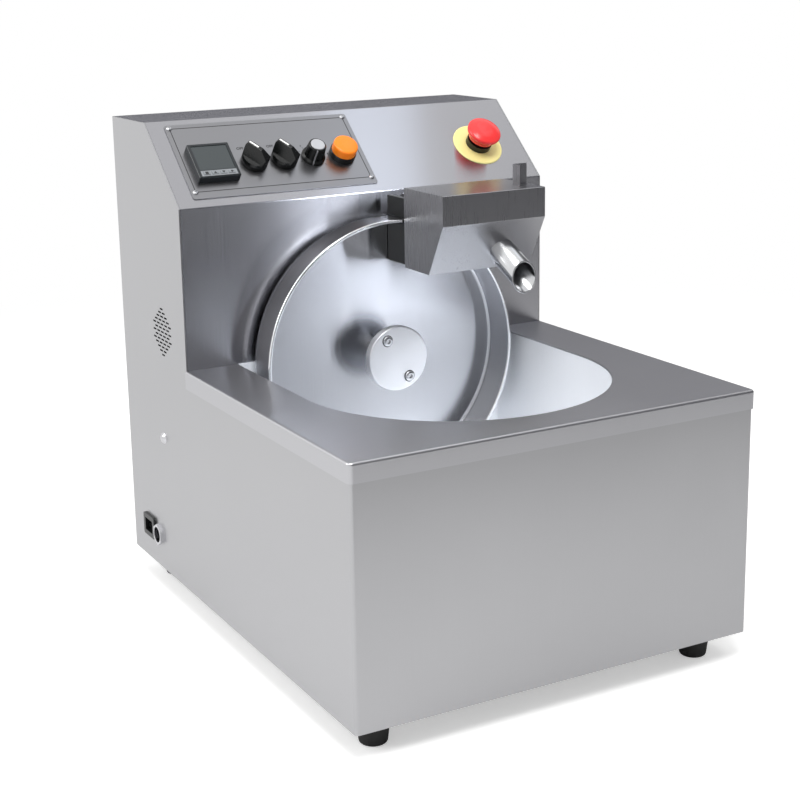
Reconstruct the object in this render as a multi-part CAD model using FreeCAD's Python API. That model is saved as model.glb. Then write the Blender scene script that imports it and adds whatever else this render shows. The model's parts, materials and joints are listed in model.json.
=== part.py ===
"""Chocolate melter: a tabletop machine whose wheel lifts melted chocolate out of a heated bowl.

All sizes are in millimetres. While the pieces are made, x runs from the middle of the machine to
the right, y runs back from the face of the front panel, and z runs up from the table. The finished
pieces are then moved so that the origin is under the middle of the whole machine.
"""
import FreeCAD
import Part
import math
import os

from FreeCAD import Placement, Rotation, Vector

# Casing
body_width = 450.0
body_depth = 568.0
foot_height = 30.0
deck_height = 286.0          # top of the deck, from the table
wall_place = 375.0           # head wall, behind the front panel
slope_run = 93.0             # depth and rise of the control panel between its folds
slope_rise = 83.0
slope_over_wheel = 25.0      # the lower fold above the wheel's top
sheet = 1.5                  # stainless sheet of casing, deck, bowl and hopper
sheet_gap = 0.2              # between two sheets that are not welded to each other
corner_radius = 4.0
fold_radius = 2.5
flange = 12.0

# Deck and bowl
lip_drop = 19.0
bowl_half_width = 165.0
bowl_front_place = 41.0
bowl_depth = 167.0
bowl_bottom_radius = 30.0
rim_radius = 1.0

# Feet
foot_top_radius = 17.0
foot_bottom_radius = 13.5
foot_inset = 37.0
foot_screw_radius = 3.0

# Wheel and its drive
wheel_radius = 152.0
wheel_drop = 4.0             # the wheel's centre below the deck's top
wheel_wall_gap = 9.0         # between the wheel and the head wall
wheel_dish_depth = 42.0
wheel_rim = 4.0
wheel_web = 3.0
wheel_inner_radius = 5.0
wheel_outer_radius = 9.0
shaft_radius = 8.0
running_gap = 0.05
hub_tube_radius = 13.0
hub_flange_radius = 32.0
hub_flange = 6.0
cap_radius = 36.0
cap_thickness = 10.0
cap_stand_out = 8.0          # cap face in front of the wheel's rim
cap_screw_circle = 25.0
cap_screw_radius = 3.0
cap_screw_head_radius = 5.6
cap_screw_head = 3.0
cap_screw_angle = 122.0
housing_radius = 21.0
housing_flange_radius = 36.0
housing_flange = 6.0
housing_nose = 3.0           # stands out of the head wall
hub_back_flange = 4.0
housing_length = 40.0
seal_thickness = 6.0
seal_radius = 14.0
bearing_radius = 16.0
bearing_width = 9.0
gearbox_width = 90.0
gearbox_length = 52.0
motor_radius = 40.0
motor_clearance = 10.0       # between the motor and the rear cover
motor_rings = 6
motor_ring_drop = 2.0
motor_bell = 8.0
bracket_thickness = 4.0
bracket_width = 120.0
bracket_foot = 60.0

# Hopper, spout and scraper
hopper_left_place = 13.0
hopper_width = 127.0
hopper_depth = 82.0
hopper_gap = 2.0             # between the hopper and the wheel's front rim
hopper_rise = 34.0           # the hopper's top above the wheel's top
hopper_height = 87.0
hopper_band = 32.0           # upright part of its front
hopper_nose_setback = 30.0   # the lower front slopes back by this much
hopper_mouth_drop = 34.0     # the rear opening's upper edge below the hopper's top
hopper_lip = 6.0
hopper_floor_lift = 17.0     # the inner floor's left end above the hopper's bottom
hopper_floor_drop = 13.5     # its fall to the right end
spout_radius = 15.0
spout_across = 85.0          # from the hopper's left side
spout_drop = 68.0            # where it leaves the front, below the hopper's top
spout_reach = 37.5           # the spout's end in front of where it leaves the hopper
spout_side_slope = 0.1
spout_fall = 0.62
blade_thickness = 6.0
blade_root = 34.0
blade_gap = 1.0
blade_bottom_lift = 3.0
blade_drop = 12.0            # its top below the hopper's top
blade_corner = 4.0
pin_radius = 4.0
pin_drop = 22.0              # below the hopper's top
pin_inset = 30.0
pin_reach = 84.0
sleeve_wall = 2.0
sleeve_length = 24.0
grip_width = 17.0
grip_depth = 14.0
grip_height = 22.0
grip_setback = 23.0

# Control panel: places along it are measured from the plate's left edge, and heights up its slope
plate_width = 219.5
plate_height = 106.0
plate_inset = 20.5           # its left edge from the casing's left side
plate_up = 64.0              # middle of the plate
plate_thickness = 1.0
plate_screw_inset = 5.0
plate_screw_low_inset = 9.0
plate_screw_radius = 1.5
plate_screw_length = 6.0
plate_screw_head_radius = 3.0
plate_screw_head = 1.6
border_width = 0.8
border_depth = 0.3
controls_up = 56.0
switch_hole_radius = 11.2
controller_along = 36.0
left_switch_along = 85.0
right_switch_along = 120.5
speed_dial_along = 156.0
lamp_along = 192.0
controller_size = 48.0
controller_stand_out = 9.0
controller_body_size = 44.6
controller_body_depth = 60.0
controller_wall = 2.0
window_inset = 3.5
window_drop = 0.8
window_thickness = 1.0
key_row_up = 5.5             # middle of the key row above the case's lower edge
key_width = 7.2
key_height = 4.2
key_thickness = 2.4
key_stand_out = 0.8
key_travel = 0.8
key_gap = 0.2
key_pitch = 9.6
key_count = 4
knob_radius = 15.0
knob_skirt = 8.0
knob_height = 22.0
knob_foot_width = 19.0       # the handle is widest where it meets the skirt
knob_ridge_width = 4.6
knob_edge = 1.0
knob_stand_off = 0.6
knob_rest_angle = 38.0
switch_body_width = 30.0
switch_body_depth = 42.0
switch_nut_radius = 14.0
switch_nut = 4.0
spindle_radius = 4.0
spindle_length = 12.0
dial_skirt_radius = 13.5
dial_radius = 11.5
dial_taper = 1.5
dial_edge = 1.0
dial_skirt = 5.0
dial_height = 20.0
dial_flutes = 12
dial_flute_radius = 1.3
dial_cap_radius = 8.0
dial_cap = 1.2
dial_body_radius = 12.0
dial_body_depth = 14.0
dial_bush_radius = 4.8
dial_spindle_radius = 3.1
dial_nut = 2.0
lamp_base_radius = 15.0
lamp_base = 7.0
lamp_lens_radius = 14.0
lamp_lens_height = 11.0
lamp_lens_edge = 2.5
lamp_body_depth = 34.0
stop_inset = 60.0            # from the casing's right side
stop_up = 55.0
stop_disc_radius = 30.0
stop_disc = 1.5
stop_collar_radius = 15.0
stop_collar = 7.0
stop_stem_radius = 7.0
stop_pin_length = 8.0
stop_travel = 4.0
stop_button_radius = 20.0
stop_button_base_radius = 16.0
stop_button_height = 16.0
stop_body_depth = 48.0

# Left side
vent_behind_wall = 67.0      # middle of the round vent
vent_height = 316.0
vent_radius = 29.0
vent_rows = 13
vent_row_pitch = 4.3
vent_slot_height = 1.9
vent_slot_length = 8.4
vent_slot_pitch = 11.2
fan_size = 60.0
fan_depth = 25.0
fan_rotor_radius = 27.5
fan_hub_radius = 13.0
fan_blades = 7
fan_blade_thickness = 1.6
fan_tip_gap = 1.2
fan_pin_radius = 2.0
fan_arm = 3.0
fan_blade_pitch = 38.0
reset_behind_wall = 79.0
reset_height = 192.0
reset_radius = 7.0
reset_stand_out = 4.0
reset_travel = 2.0
reset_collar_radius = 9.0
reset_body_depth = 22.0
inlet_setback = 55.0         # from the rear
inlet_height = 71.0
inlet_width = 27.0
inlet_tall = 20.0
inlet_flange = 3.0
inlet_depth = 22.0
inlet_wall = 2.5
inlet_socket_depth = 16.0
inlet_pin_length = 12.0
inlet_pin_thickness = 2.0
inlet_pin_width = 4.0
inlet_pin_pitch = 7.0
inlet_pin_rise = 2.0
socket_setback = 84.0
socket_height = 69.0
socket_radius = 13.0
socket_bore_radius = 9.0
socket_nut = 4.0
socket_depth = 16.0

# Rear cover, base and inside
rear_slot_count = 12
rear_slot_length = 60.0
rear_slot_width = 4.0
rear_slot_pitch = 10.0
cover_screw_radius = 2.0
cover_screw_head_radius = 4.0
cover_screw_head = 2.2
cover_screw_inset = 8.0
cover_flange = 16.0
mat_thickness = 3.0
mat_inset = 36.0
probe_radius = 3.0
probe_length = 34.0
board_width = 120.0
board_depth = 90.0
board_thickness = 1.6
board_standoff = 8.0
board_standoff_radius = 3.0
board_middle = -130.0
board_setback = 103.0
board_margin = 12.0
relay_size = 30.0
relay_height = 22.0
capacitor_radius = 6.0
capacitor_height = 24.0
capacitor_pitch = 18.0
capacitor_count = 3
terminal_size = 12.0

# Places that follow from the sizes above
half_width = body_width / 2
wheel_centre_height = deck_height - wheel_drop
wheel_top_height = wheel_centre_height + wheel_radius
slope_foot_height = wheel_top_height + slope_over_wheel
total_height = slope_foot_height + slope_rise
top_strip_place = wall_place + slope_run
bowl_round_place = bowl_front_place + bowl_half_width
bowl_floor_height = deck_height - bowl_depth
inner_wall_place = wall_place + sheet
wheel_back_place = wall_place - wheel_wall_gap
wheel_front_place = wheel_back_place - wheel_dish_depth
web_front_place = wheel_back_place - wheel_web
hopper_back_place = wheel_front_place - hopper_gap
hopper_front_place = hopper_back_place - hopper_depth
hopper_top_height = wheel_top_height + hopper_rise
hopper_fold_height = hopper_top_height - hopper_band
hopper_bottom_height = hopper_top_height - hopper_height
hopper_mouth_height = hopper_top_height - hopper_mouth_drop
spout_height = hopper_top_height - spout_drop
blade_top_height = hopper_top_height - blade_drop
pin_height = hopper_top_height - pin_drop
slope_angle = math.degrees(math.atan2(slope_rise, slope_run))
blade_left_place = hopper_left_place + sheet
blade_right_place = blade_left_place + blade_thickness
plate_left_place = plate_inset - half_width
controller_place = plate_left_place + controller_along
left_switch_place = plate_left_place + left_switch_along
right_switch_place = plate_left_place + right_switch_along
speed_dial_place = plate_left_place + speed_dial_along
lamp_place = plate_left_place + lamp_along
stop_place = half_width - stop_inset
vent_back = wall_place + vent_behind_wall
reset_back = wall_place + reset_behind_wall
inlet_back = body_depth - inlet_setback
socket_back = body_depth - socket_setback
board_back = body_depth - board_setback
housing_back_place = inner_wall_place + housing_length
gearbox_place = housing_back_place + bracket_thickness
motor_place = gearbox_place + gearbox_length
motor_length = body_depth - sheet - motor_clearance - motor_place
left_reach = half_width + max(reset_stand_out, inlet_flange, socket_nut)
right_reach = half_width + sheet_gap + sheet
front_reach = sheet_gap + sheet
rear_reach = body_depth + cover_screw_head
origin_across = (right_reach - left_reach) / 2
origin_back = (rear_reach - front_reach) / 2


def box(x0, y0, z0, x1, y1, z1):
    """A block from its lowest corner to its highest."""
    return Part.makeBox(x1 - x0, y1 - y0, z1 - z0, Vector(x0, y0, z0))


def rod(radius, length, start=(0, 0, 0), along=(0, 0, 1)):
    return Part.makeCylinder(radius, length, Vector(*start), Vector(*along))


def ring(outer, inner, length, start=(0, 0, 0), along=(0, 0, 1)):
    return rod(outer, length, start, along).cut(rod(inner, length, start, along))


def outline(points):
    """A flat face from points that are joined in order and back to the first."""
    return Part.Face(Part.makePolygon([Vector(*p) for p in points] + [Vector(*points[0])]))


def across(points, x0, x1):
    """A side view, given as (y, z) points, drawn out from x0 to x1."""
    return outline([(x0, y, z) for y, z in points]).extrude(Vector(x1 - x0, 0, 0))


def turned(points):
    """A lathe profile, given as (radius, height) points, turned about the z axis."""
    return outline([(r, 0, h) for r, h in points]).revolve(Vector(), Vector(0, 0, 1), 360)


def hexagon(radius, low, high):
    """A hexagonal prism; the radius reaches its corners."""
    angles = [math.radians(60 * i) for i in range(6)]
    corners = [(radius * math.cos(angle), radius * math.sin(angle), low) for angle in angles]
    return outline(corners).extrude(Vector(0, 0, high - low))


def rounded(shape, radius, chosen):
    """Round the straight or curved edges whose middle point passes the test."""
    edges = []
    for edge in shape.Edges:
        middle = edge.valueAt((edge.FirstParameter + edge.LastParameter) / 2)
        if chosen(middle, edge):
            edges.append(edge)
    return shape.makeFillet(radius, edges)


def upright(edge):
    return abs(edge.tangentAt(edge.FirstParameter).z) > 0.999


def on_fold(middle, fold):
    """Whether an edge's middle point is the middle of a fold line given as (y, z)."""
    return abs(middle.x) < 0.01 and math.hypot(middle.y - fold[0], middle.z - fold[1]) < 0.01


def placed(shape, place, turn):
    shape.Placement = Placement(place, turn).multiply(shape.Placement)
    return shape


def facing_front(shape, x, y, z):
    """Place a piece made along +z so that it points at the user."""
    return placed(shape, Vector(x, y, z), Rotation(Vector(1, 0, 0), 90))


def facing_left(shape, y, z):
    """Place a piece made along +z so that it points out of the left side."""
    return placed(shape, Vector(-half_width, y, z), Rotation(Vector(0, 1, 0), -90))


def on_slope(shape, across_place, up, turn=0.0):
    """Place a piece made along +z on the control panel, turned about its own axis first."""
    angle = math.radians(slope_angle)
    foot = Vector(across_place, wall_place + up * math.cos(angle), slope_foot_height + up * math.sin(angle))
    tilt = Rotation(Vector(1, 0, 0), slope_angle)
    return placed(shape, foot, tilt.multiply(Rotation(Vector(0, 0, 1), turn)))


def u_prism(half, back, low, high):
    """The bowl's plan: straight sides, a round front and a flat back."""
    round_part = rod(half, high - low, (0, bowl_round_place, low))
    return round_part.fuse(box(-half, bowl_round_place, low, half, back, high)).removeSplitter()


def flat_screw(radius, length, head_radius, head):
    """A dome-headed screw with a cross recess, its head above z = 0."""
    body = turned([(0, -length), (radius, -length), (radius, 0), (head_radius, 0),
                   (head_radius, 0.35 * head), (0.6 * head_radius, head), (0, head)])
    arm = 1.1 * head_radius
    slot = 0.22 * head_radius
    recess = box(-arm / 2, -slot / 2, 0.45 * head, arm / 2, slot / 2, head)
    turned_recess = recess.copy()
    turned_recess.rotate(Vector(), Vector(0, 0, 1), 90)
    return body.cut(recess.fuse(turned_recess))


def body_wrap():
    """Left side, front panel and right side, folded from one sheet."""
    low_top = deck_height - sheet
    side = [(0, foot_height), (body_depth, foot_height), (body_depth, total_height),
            (top_strip_place, total_height), (wall_place, slope_foot_height),
            (wall_place, low_top), (0, low_top)]
    shell = rounded(across(side, -half_width, half_width), corner_radius,
                    lambda m, e: upright(e) and m.y < 1)
    hollow = box(-half_width + sheet, sheet, 0, half_width - sheet, 2 * body_depth, 2 * total_height)
    hollow = rounded(hollow, corner_radius - sheet, lambda m, e: upright(e) and m.y < 2 * sheet)
    shell = shell.cut(hollow)
    back = body_depth - sheet
    low = foot_height + flange + sheet_gap
    high = total_height - flange - sheet_gap
    for inner, outer in ((cover_flange - half_width, -half_width + sheet / 2),
                         (half_width - sheet / 2, half_width - cover_flange)):
        left, right = sorted((inner, outer))
        shell = shell.fuse(box(left, back - sheet, low, right, back, high))
    holes = vent_slots() + cover_screw_holes()
    holes.append(facing_left(rod(reset_radius + running_gap, 3 * sheet, (0, 0, -2 * sheet)),
                             reset_back, reset_height))
    holes.append(facing_left(box(-inlet_tall / 2 - sheet_gap, -inlet_width / 2 - sheet_gap, -2 * sheet,
                                 inlet_tall / 2 + sheet_gap, inlet_width / 2 + sheet_gap, sheet),
                             inlet_back, inlet_height))
    holes.append(facing_left(rod(socket_bore_radius + sheet + sheet_gap, 3 * sheet, (0, 0, -2 * sheet)),
                             socket_back, socket_height))
    return shell.cut(Part.makeCompound(holes))


def vent_slots():
    """Cutters for the round vent: staggered rows of short slots inside a circle."""
    cutters = []
    for row in range(vent_rows):
        up = (row - (vent_rows - 1) / 2) * vent_row_pitch
        shift = vent_slot_pitch / 2 if row % 2 else 0.0
        for column in range(-4, 5):
            back = column * vent_slot_pitch + shift
            if math.hypot(abs(back) + vent_slot_length / 2, up) < vent_radius:
                low = vent_height + up - vent_slot_height / 2
                start = vent_back + back - vent_slot_length / 2
                cutters.append(box(-half_width - sheet, start, low, -half_width + 2 * sheet,
                                   start + vent_slot_length, low + vent_slot_height))
    return cutters


def deck():
    """Sheet with a lip folded down on three sides and a U-shaped cut-out for the bowl."""
    reach = half_width + sheet_gap + sheet
    back = wall_place - sheet_gap
    block = box(-reach, -front_reach, deck_height - lip_drop, reach, back, deck_height)
    block = rounded(block, corner_radius + sheet_gap + sheet, lambda m, e: upright(e) and m.y < 0)
    block = rounded(block, fold_radius,
                    lambda m, e: m.z > deck_height - 0.01 and m.y < back - 0.01)
    hollow = box(-reach + sheet, -front_reach + sheet, 0, reach - sheet, body_depth, deck_height - sheet)
    hollow = rounded(hollow, corner_radius + sheet_gap, lambda m, e: upright(e) and m.y < sheet)
    opening = u_prism(bowl_half_width, body_depth, 0, total_height)
    plate = block.cut(hollow).cut(opening)
    return rounded(plate, rim_radius,
                   lambda m, e: m.z > deck_height - 0.01 and abs(m.x) < bowl_half_width + 0.01
                   and m.y < back - 0.01 and m.y > sheet)


def bowl():
    """U-shaped pan with a round bottom edge and a notch in its back for the shaft housing."""
    back = wall_place - sheet_gap
    outer = u_prism(bowl_half_width + sheet, back, bowl_floor_height - sheet, deck_height - sheet)
    outer = rounded(outer, bowl_bottom_radius + sheet, lambda m, e: m.z < bowl_floor_height - sheet + 0.01)
    inner = u_prism(bowl_half_width, back - sheet, bowl_floor_height, deck_height)
    inner = rounded(inner, bowl_bottom_radius, lambda m, e: m.z < bowl_floor_height + 0.01)
    upstand = box(-bowl_half_width + sheet_gap, back - sheet, deck_height - sheet,
                  bowl_half_width - sheet_gap, back, deck_height)
    pan = outer.cut(inner).fuse(upstand).removeSplitter()
    notch_radius = housing_radius + sheet_gap
    notch = rod(notch_radius, 4 * sheet, (0, back - 2 * sheet, wheel_centre_height), (0, 1, 0))
    return pan.cut(notch)


def heater_mat():
    """Silicone heating mat, stuck flat under the bowl."""
    top = bowl_floor_height - sheet
    return u_prism(bowl_half_width - mat_inset, wall_place - mat_inset, top - mat_thickness, top)


def temperature_probe():
    """Steel probe clipped under the mat, with the flattened clip that holds it."""
    top = bowl_floor_height - sheet - mat_thickness
    stem = rod(probe_radius, probe_length, (0, bowl_round_place, top - probe_radius), (0, 1, 0))
    clip_start = bowl_round_place + probe_length / 3
    clip = box(-3 * probe_radius, clip_start, top - sheet, 3 * probe_radius, clip_start + flange, top)
    return stem.fuse(clip)


def base_plate():
    """Bottom sheet with edges folded up inside the casing and four foot holes."""
    gap = sheet + sheet_gap
    back = body_depth - sheet
    plate = box(-half_width + gap, gap, foot_height, half_width - gap, back, foot_height + flange)
    plate = rounded(plate, corner_radius - sheet, lambda m, e: upright(e) and m.y < 2 * gap)
    hollow = box(-half_width + gap + sheet, gap + sheet, foot_height + sheet,
                 half_width - gap - sheet, back - sheet, foot_height + 2 * flange)
    holes = [rod(foot_screw_radius + sheet_gap, flange, (x, y, foot_height - sheet))
             for x, y in foot_places()]
    return plate.cut(hollow).cut(Part.makeCompound(holes + cover_screw_holes()))


def foot_places():
    near = foot_inset
    far = body_depth - foot_inset
    side = half_width - foot_inset
    return [(-side, near), (side, near), (-side, far), (side, far)]


def foot(x, y):
    """Tapered rubber foot with a sunk hole for its screw."""
    bore = foot_screw_radius + sheet_gap
    seat = 0.4 * foot_height
    profile = [(bore, foot_height), (bore, seat), (2 * foot_screw_radius, seat), (2 * foot_screw_radius, 0),
               (foot_bottom_radius - 1.5, 0), (foot_bottom_radius, 1.5),
               (foot_top_radius, foot_height - 3), (foot_top_radius, foot_height)]
    shape = turned(profile)
    shape.translate(Vector(x, y, 0))
    return shape


def foot_screws():
    """Four screws from below, each with its nut on the base plate."""
    screws = []
    head_radius = 1.8 * foot_screw_radius
    head_top = 0.4 * foot_height
    head_low = 0.12 * foot_height
    nut_low = foot_height + sheet
    shank_top = nut_low + 2 * foot_screw_radius
    for x, y in foot_places():
        head = rod(head_radius, head_top - head_low, (x, y, head_low))
        shank = rod(foot_screw_radius, shank_top - head_top, (x, y, head_top))
        nut = rod(head_radius, foot_screw_radius, (x, y, nut_low))
        screws.append(head.fuse(shank).fuse(nut))
    return Part.makeCompound(screws)


def head_profile(offset):
    """The head cover's outer line, moved inwards by offset, from the wall's foot to the top's back."""
    half_turn = math.radians((90 - slope_angle) / 2)
    top_turn = math.radians(slope_angle / 2)
    return [(wall_place + offset, slope_foot_height - offset * math.tan(half_turn)),
            (top_strip_place + offset * math.tan(top_turn), total_height - offset)]


def head_cover():
    """Head wall, sloped control panel and top, folded from one sheet."""
    back = body_depth - sheet
    foot_line = wheel_centre_height - housing_flange_radius - flange / 2
    fold_out, top_out = head_profile(0)
    fold_in, top_in = head_profile(sheet)
    side = [(wall_place, foot_line), fold_out, top_out, (back, total_height),
            (back, total_height - flange), (back - sheet, total_height - flange),
            (back - sheet, total_height - sheet), top_in, fold_in,
            (inner_wall_place, foot_line + sheet), (inner_wall_place + flange, foot_line + sheet),
            (inner_wall_place + flange, foot_line)]
    reach = half_width - sheet - sheet_gap
    cover = across(side, -reach, reach)
    cover = rounded(cover, fold_radius, lambda m, e: on_fold(m, fold_out) or on_fold(m, top_out))
    holes = panel_holes()
    holes.append(rod(housing_radius + sheet_gap, 4 * sheet,
                     (0, wall_place - sheet, wheel_centre_height), (0, 1, 0)))
    holes += [rod(pin_radius + running_gap, 4 * sheet, (x, wall_place - sheet, pin_height), (0, 1, 0))
              for x in pin_places()]
    return cover.cut(Part.makeCompound(holes + cover_screw_holes()))


def panel_holes():
    """Cutters for what passes through the control panel."""
    deep = 8 * sheet
    round_holes = [(left_switch_place, controls_up, switch_hole_radius),
                   (right_switch_place, controls_up, switch_hole_radius),
                   (speed_dial_place, controls_up, dial_bush_radius + sheet_gap),
                   (lamp_place, controls_up, switch_hole_radius),
                   (stop_place, stop_up, switch_hole_radius)]
    cutters = [on_slope(rod(radius, deep, (0, 0, -deep / 2)), place, up)
               for place, up, radius in round_holes]
    half = controller_body_size / 2 + sheet_gap
    square = box(-half, -half, -deep / 2, half, half, deep / 2)
    cutters.append(on_slope(square, controller_place, controls_up))
    for place, up in plate_screw_places():
        cutters.append(on_slope(rod(plate_screw_radius + running_gap, deep, (0, 0, -deep / 2)), place, up))
    return cutters


def plate_screw_places():
    left = plate_left_place + plate_screw_inset
    right = plate_left_place + plate_width - plate_screw_inset
    low = plate_up - plate_height / 2 + plate_screw_low_inset
    high = plate_up + plate_height / 2 - plate_screw_inset
    return [(place, up) for place in (left, right) for up in (low, high)]


def control_plate():
    """Thin plate over the panel, with an engraved border that runs from screw to screw."""
    tall = plate_height / 2
    plate = box(0, -tall, 0, plate_width, tall, plate_thickness)
    plate = rounded(plate, 2 * sheet, lambda m, e: upright(e))
    left = plate_screw_inset
    right = plate_width - plate_screw_inset
    low = plate_screw_low_inset - tall
    high = tall - plate_screw_inset
    floor = plate_thickness - border_depth
    border = box(left, low, floor, right, high, plate_thickness)
    border = border.cut(box(left + border_width, low + border_width, 0,
                            right - border_width, high - border_width, plate_thickness))
    plate = on_slope(plate.cut(border), plate_left_place, plate_up)
    return plate.cut(Part.makeCompound(panel_holes()))


def control_plate_screws():
    screws = []
    for place, up in plate_screw_places():
        screw = flat_screw(plate_screw_radius, plate_screw_length, plate_screw_head_radius, plate_screw_head)
        screw.translate(Vector(0, 0, plate_thickness))
        screws.append(on_slope(screw, place, up))
    return Part.makeCompound(screws)


def controller_case():
    """Square controller: bezel on the plate, body through the cut-out, pockets for the keys."""
    half = controller_size / 2
    bezel = box(-half, -half, 0, half, half, controller_stand_out)
    bezel = rounded(bezel, 1.5, lambda m, e: upright(e) or m.z > controller_stand_out - 0.01)
    body_half = controller_body_size / 2
    body = box(-body_half, -body_half, -controller_body_depth, body_half, body_half, 0)
    case = bezel.fuse(body)
    reach = half - window_inset
    window_low = -half + 2 * key_row_up - window_drop
    pocket = box(-reach, window_low, controller_stand_out - window_drop - window_thickness,
                 reach, reach, controller_stand_out)
    keyways = [box(x - key_width / 2 - key_gap, -half + key_row_up - key_height / 2 - key_gap,
                   controller_stand_out - key_thickness - key_travel - key_gap,
                   x + key_width / 2 + key_gap, -half + key_row_up + key_height / 2 + key_gap,
                   controller_stand_out) for x in key_places()]
    case = case.cut(pocket).cut(Part.makeCompound(keyways))
    case.translate(Vector(0, 0, plate_thickness))
    return on_slope(case, controller_place, controls_up)


def key_places():
    return [(i - (key_count - 1) / 2) * key_pitch for i in range(key_count)]


def controller_window():
    half = controller_size / 2
    reach = half - window_inset - running_gap
    base = plate_thickness + controller_stand_out - window_drop - window_thickness
    window = box(-reach, -half + 2 * key_row_up - window_drop + running_gap, base,
                 reach, reach, base + window_thickness)
    return on_slope(window, controller_place, controls_up)


def controller_key(x):
    half = controller_size / 2
    top = plate_thickness + controller_stand_out + key_stand_out
    low = -half + key_row_up
    key = box(x - key_width / 2, low - key_height / 2, top - key_thickness - key_stand_out,
              x + key_width / 2, low + key_height / 2, top)
    key = rounded(key, 0.5, lambda m, e: m.z > top - 0.01)
    return on_slope(key, controller_place, controls_up)


def switch_body(place):
    """Selector switch: collar on the plate, threaded neck through it, nut and block behind."""
    behind = -sheet
    neck = rod(switch_hole_radius - sheet_gap, switch_nut + sheet + plate_thickness,
               (0, 0, behind - switch_nut))
    collar = rod(knob_radius - 1, knob_stand_off, (0, 0, plate_thickness))
    nut = rod(switch_nut_radius, switch_nut, (0, 0, behind - switch_nut))
    half = switch_body_width / 2
    block = box(-half, -half, behind - switch_nut - switch_body_depth, half, half, behind - switch_nut)
    spindle = rod(spindle_radius, spindle_length, (0, 0, plate_thickness))
    body = neck.fuse(collar).fuse(nut).fuse(block).fuse(spindle)
    return on_slope(body, place, controls_up)


def switch_knob(place):
    """Pointer knob: round skirt and a roof-shaped handle whose ridge is highest at its pointing end."""
    base = plate_thickness + knob_stand_off + running_gap
    skirt = turned([(0, 0), (knob_radius, 0), (knob_radius, 0.6 * knob_skirt),
                    (knob_radius - knob_edge, knob_skirt), (0, knob_skirt)])
    reach = knob_radius - knob_edge / 2
    foot_line = 0.5 * knob_skirt
    side = [(-reach, foot_line), (reach, foot_line), (reach, 0.85 * knob_height),
            (reach - 2 * knob_edge, knob_height), (-0.3 * reach, knob_height), (-reach, 0.66 * knob_height)]
    half_foot = knob_foot_width / 2
    half_ridge = knob_ridge_width / 2
    roof = outline([(-half_foot, -reach, foot_line), (half_foot, -reach, foot_line),
                    (half_ridge, -reach, knob_height), (-half_ridge, -reach, knob_height)])
    handle = roof.extrude(Vector(0, 2 * reach, 0)).common(across(side, -half_foot, half_foot))
    handle = rounded(handle, 0.6 * knob_edge, lambda m, e: m.z > knob_skirt)
    handle = handle.common(rod(knob_radius, knob_height))
    knob = skirt.fuse(handle)
    bore = rod(spindle_radius + running_gap, spindle_length + 2 * running_gap)
    knob = knob.cut(bore)
    knob.translate(Vector(0, 0, base))
    return on_slope(knob, place, controls_up, knob_rest_angle)


def speed_dial_body():
    """Potentiometer: can behind the panel, threaded bush, nut on the plate, spindle."""
    behind = -sheet
    can = rod(dial_body_radius, dial_body_depth, (0, 0, behind - dial_body_depth))
    bush = rod(dial_bush_radius, sheet + plate_thickness + dial_nut, (0, 0, behind))
    nut = rod(1.5 * dial_bush_radius, dial_nut, (0, 0, plate_thickness))
    spindle = rod(dial_spindle_radius, spindle_length, (0, 0, plate_thickness))
    return on_slope(can.fuse(bush).fuse(nut).fuse(spindle), speed_dial_place, controls_up)


def speed_knob():
    """Fluted knob, hollow round its nut, with a recess on top for the silver cap."""
    top_radius = dial_radius - dial_taper
    knob = turned([(0, 0), (dial_skirt_radius, 0), (dial_skirt_radius, 0.6 * dial_skirt),
                   (dial_radius, dial_skirt), (top_radius, dial_height - dial_edge),
                   (top_radius - dial_edge, dial_height), (0, dial_height)])
    flutes = []
    for i in range(dial_flutes):
        angle = 2 * math.pi * i / dial_flutes
        centre = (dial_radius * math.cos(angle), dial_radius * math.sin(angle), dial_skirt)
        flutes.append(rod(dial_flute_radius, dial_height, centre))
    knob = knob.cut(Part.makeCompound(flutes))
    knob = knob.cut(rod(dial_cap_radius + running_gap, dial_cap, (0, 0, dial_height - 0.5 * dial_cap)))
    knob = knob.cut(rod(1.5 * dial_bush_radius + sheet_gap, dial_nut + running_gap))
    knob = knob.cut(rod(dial_spindle_radius + running_gap, spindle_length + 2 * running_gap))
    knob.translate(Vector(0, 0, plate_thickness + running_gap))
    return on_slope(knob, speed_dial_place, controls_up)


def speed_knob_cap():
    cap = turned([(0, 0), (dial_cap_radius, 0), (dial_cap_radius, 0.7 * dial_cap),
                  (dial_cap_radius - 0.4, dial_cap), (0, dial_cap)])
    cap.translate(Vector(0, 0, plate_thickness + running_gap + dial_height - 0.5 * dial_cap))
    return on_slope(cap, speed_dial_place, controls_up)


def lamp_body():
    """Black lamp base on the plate, threaded neck and nut behind."""
    behind = -sheet
    base = turned([(0, 0), (lamp_base_radius, 0), (lamp_base_radius, lamp_base - 1),
                   (lamp_base_radius - 1, lamp_base), (0, lamp_base)])
    base.translate(Vector(0, 0, plate_thickness))
    neck = rod(switch_hole_radius - sheet_gap, lamp_body_depth + plate_thickness, (0, 0, -lamp_body_depth))
    nut = rod(switch_nut_radius, switch_nut, (0, 0, behind - switch_nut))
    return on_slope(base.fuse(neck).fuse(nut), lamp_place, controls_up)


def lamp_lens():
    """Flat-topped orange drum with a rounded edge."""
    lens = rounded(rod(lamp_lens_radius, lamp_lens_height), lamp_lens_edge,
                   lambda m, e: m.z > lamp_lens_height - 0.01)
    lens.translate(Vector(0, 0, plate_thickness + lamp_base))
    return on_slope(lens, lamp_place, controls_up)


def stop_disc_plate():
    """Plain yellow disc under the stop button, with a shallow rim."""
    disc = turned([(switch_hole_radius, 0), (stop_disc_radius, 0), (stop_disc_radius, 0.5 * stop_disc),
                   (stop_disc_radius - 1, stop_disc), (switch_hole_radius, stop_disc)])
    return on_slope(disc, stop_place, stop_up)


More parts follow.
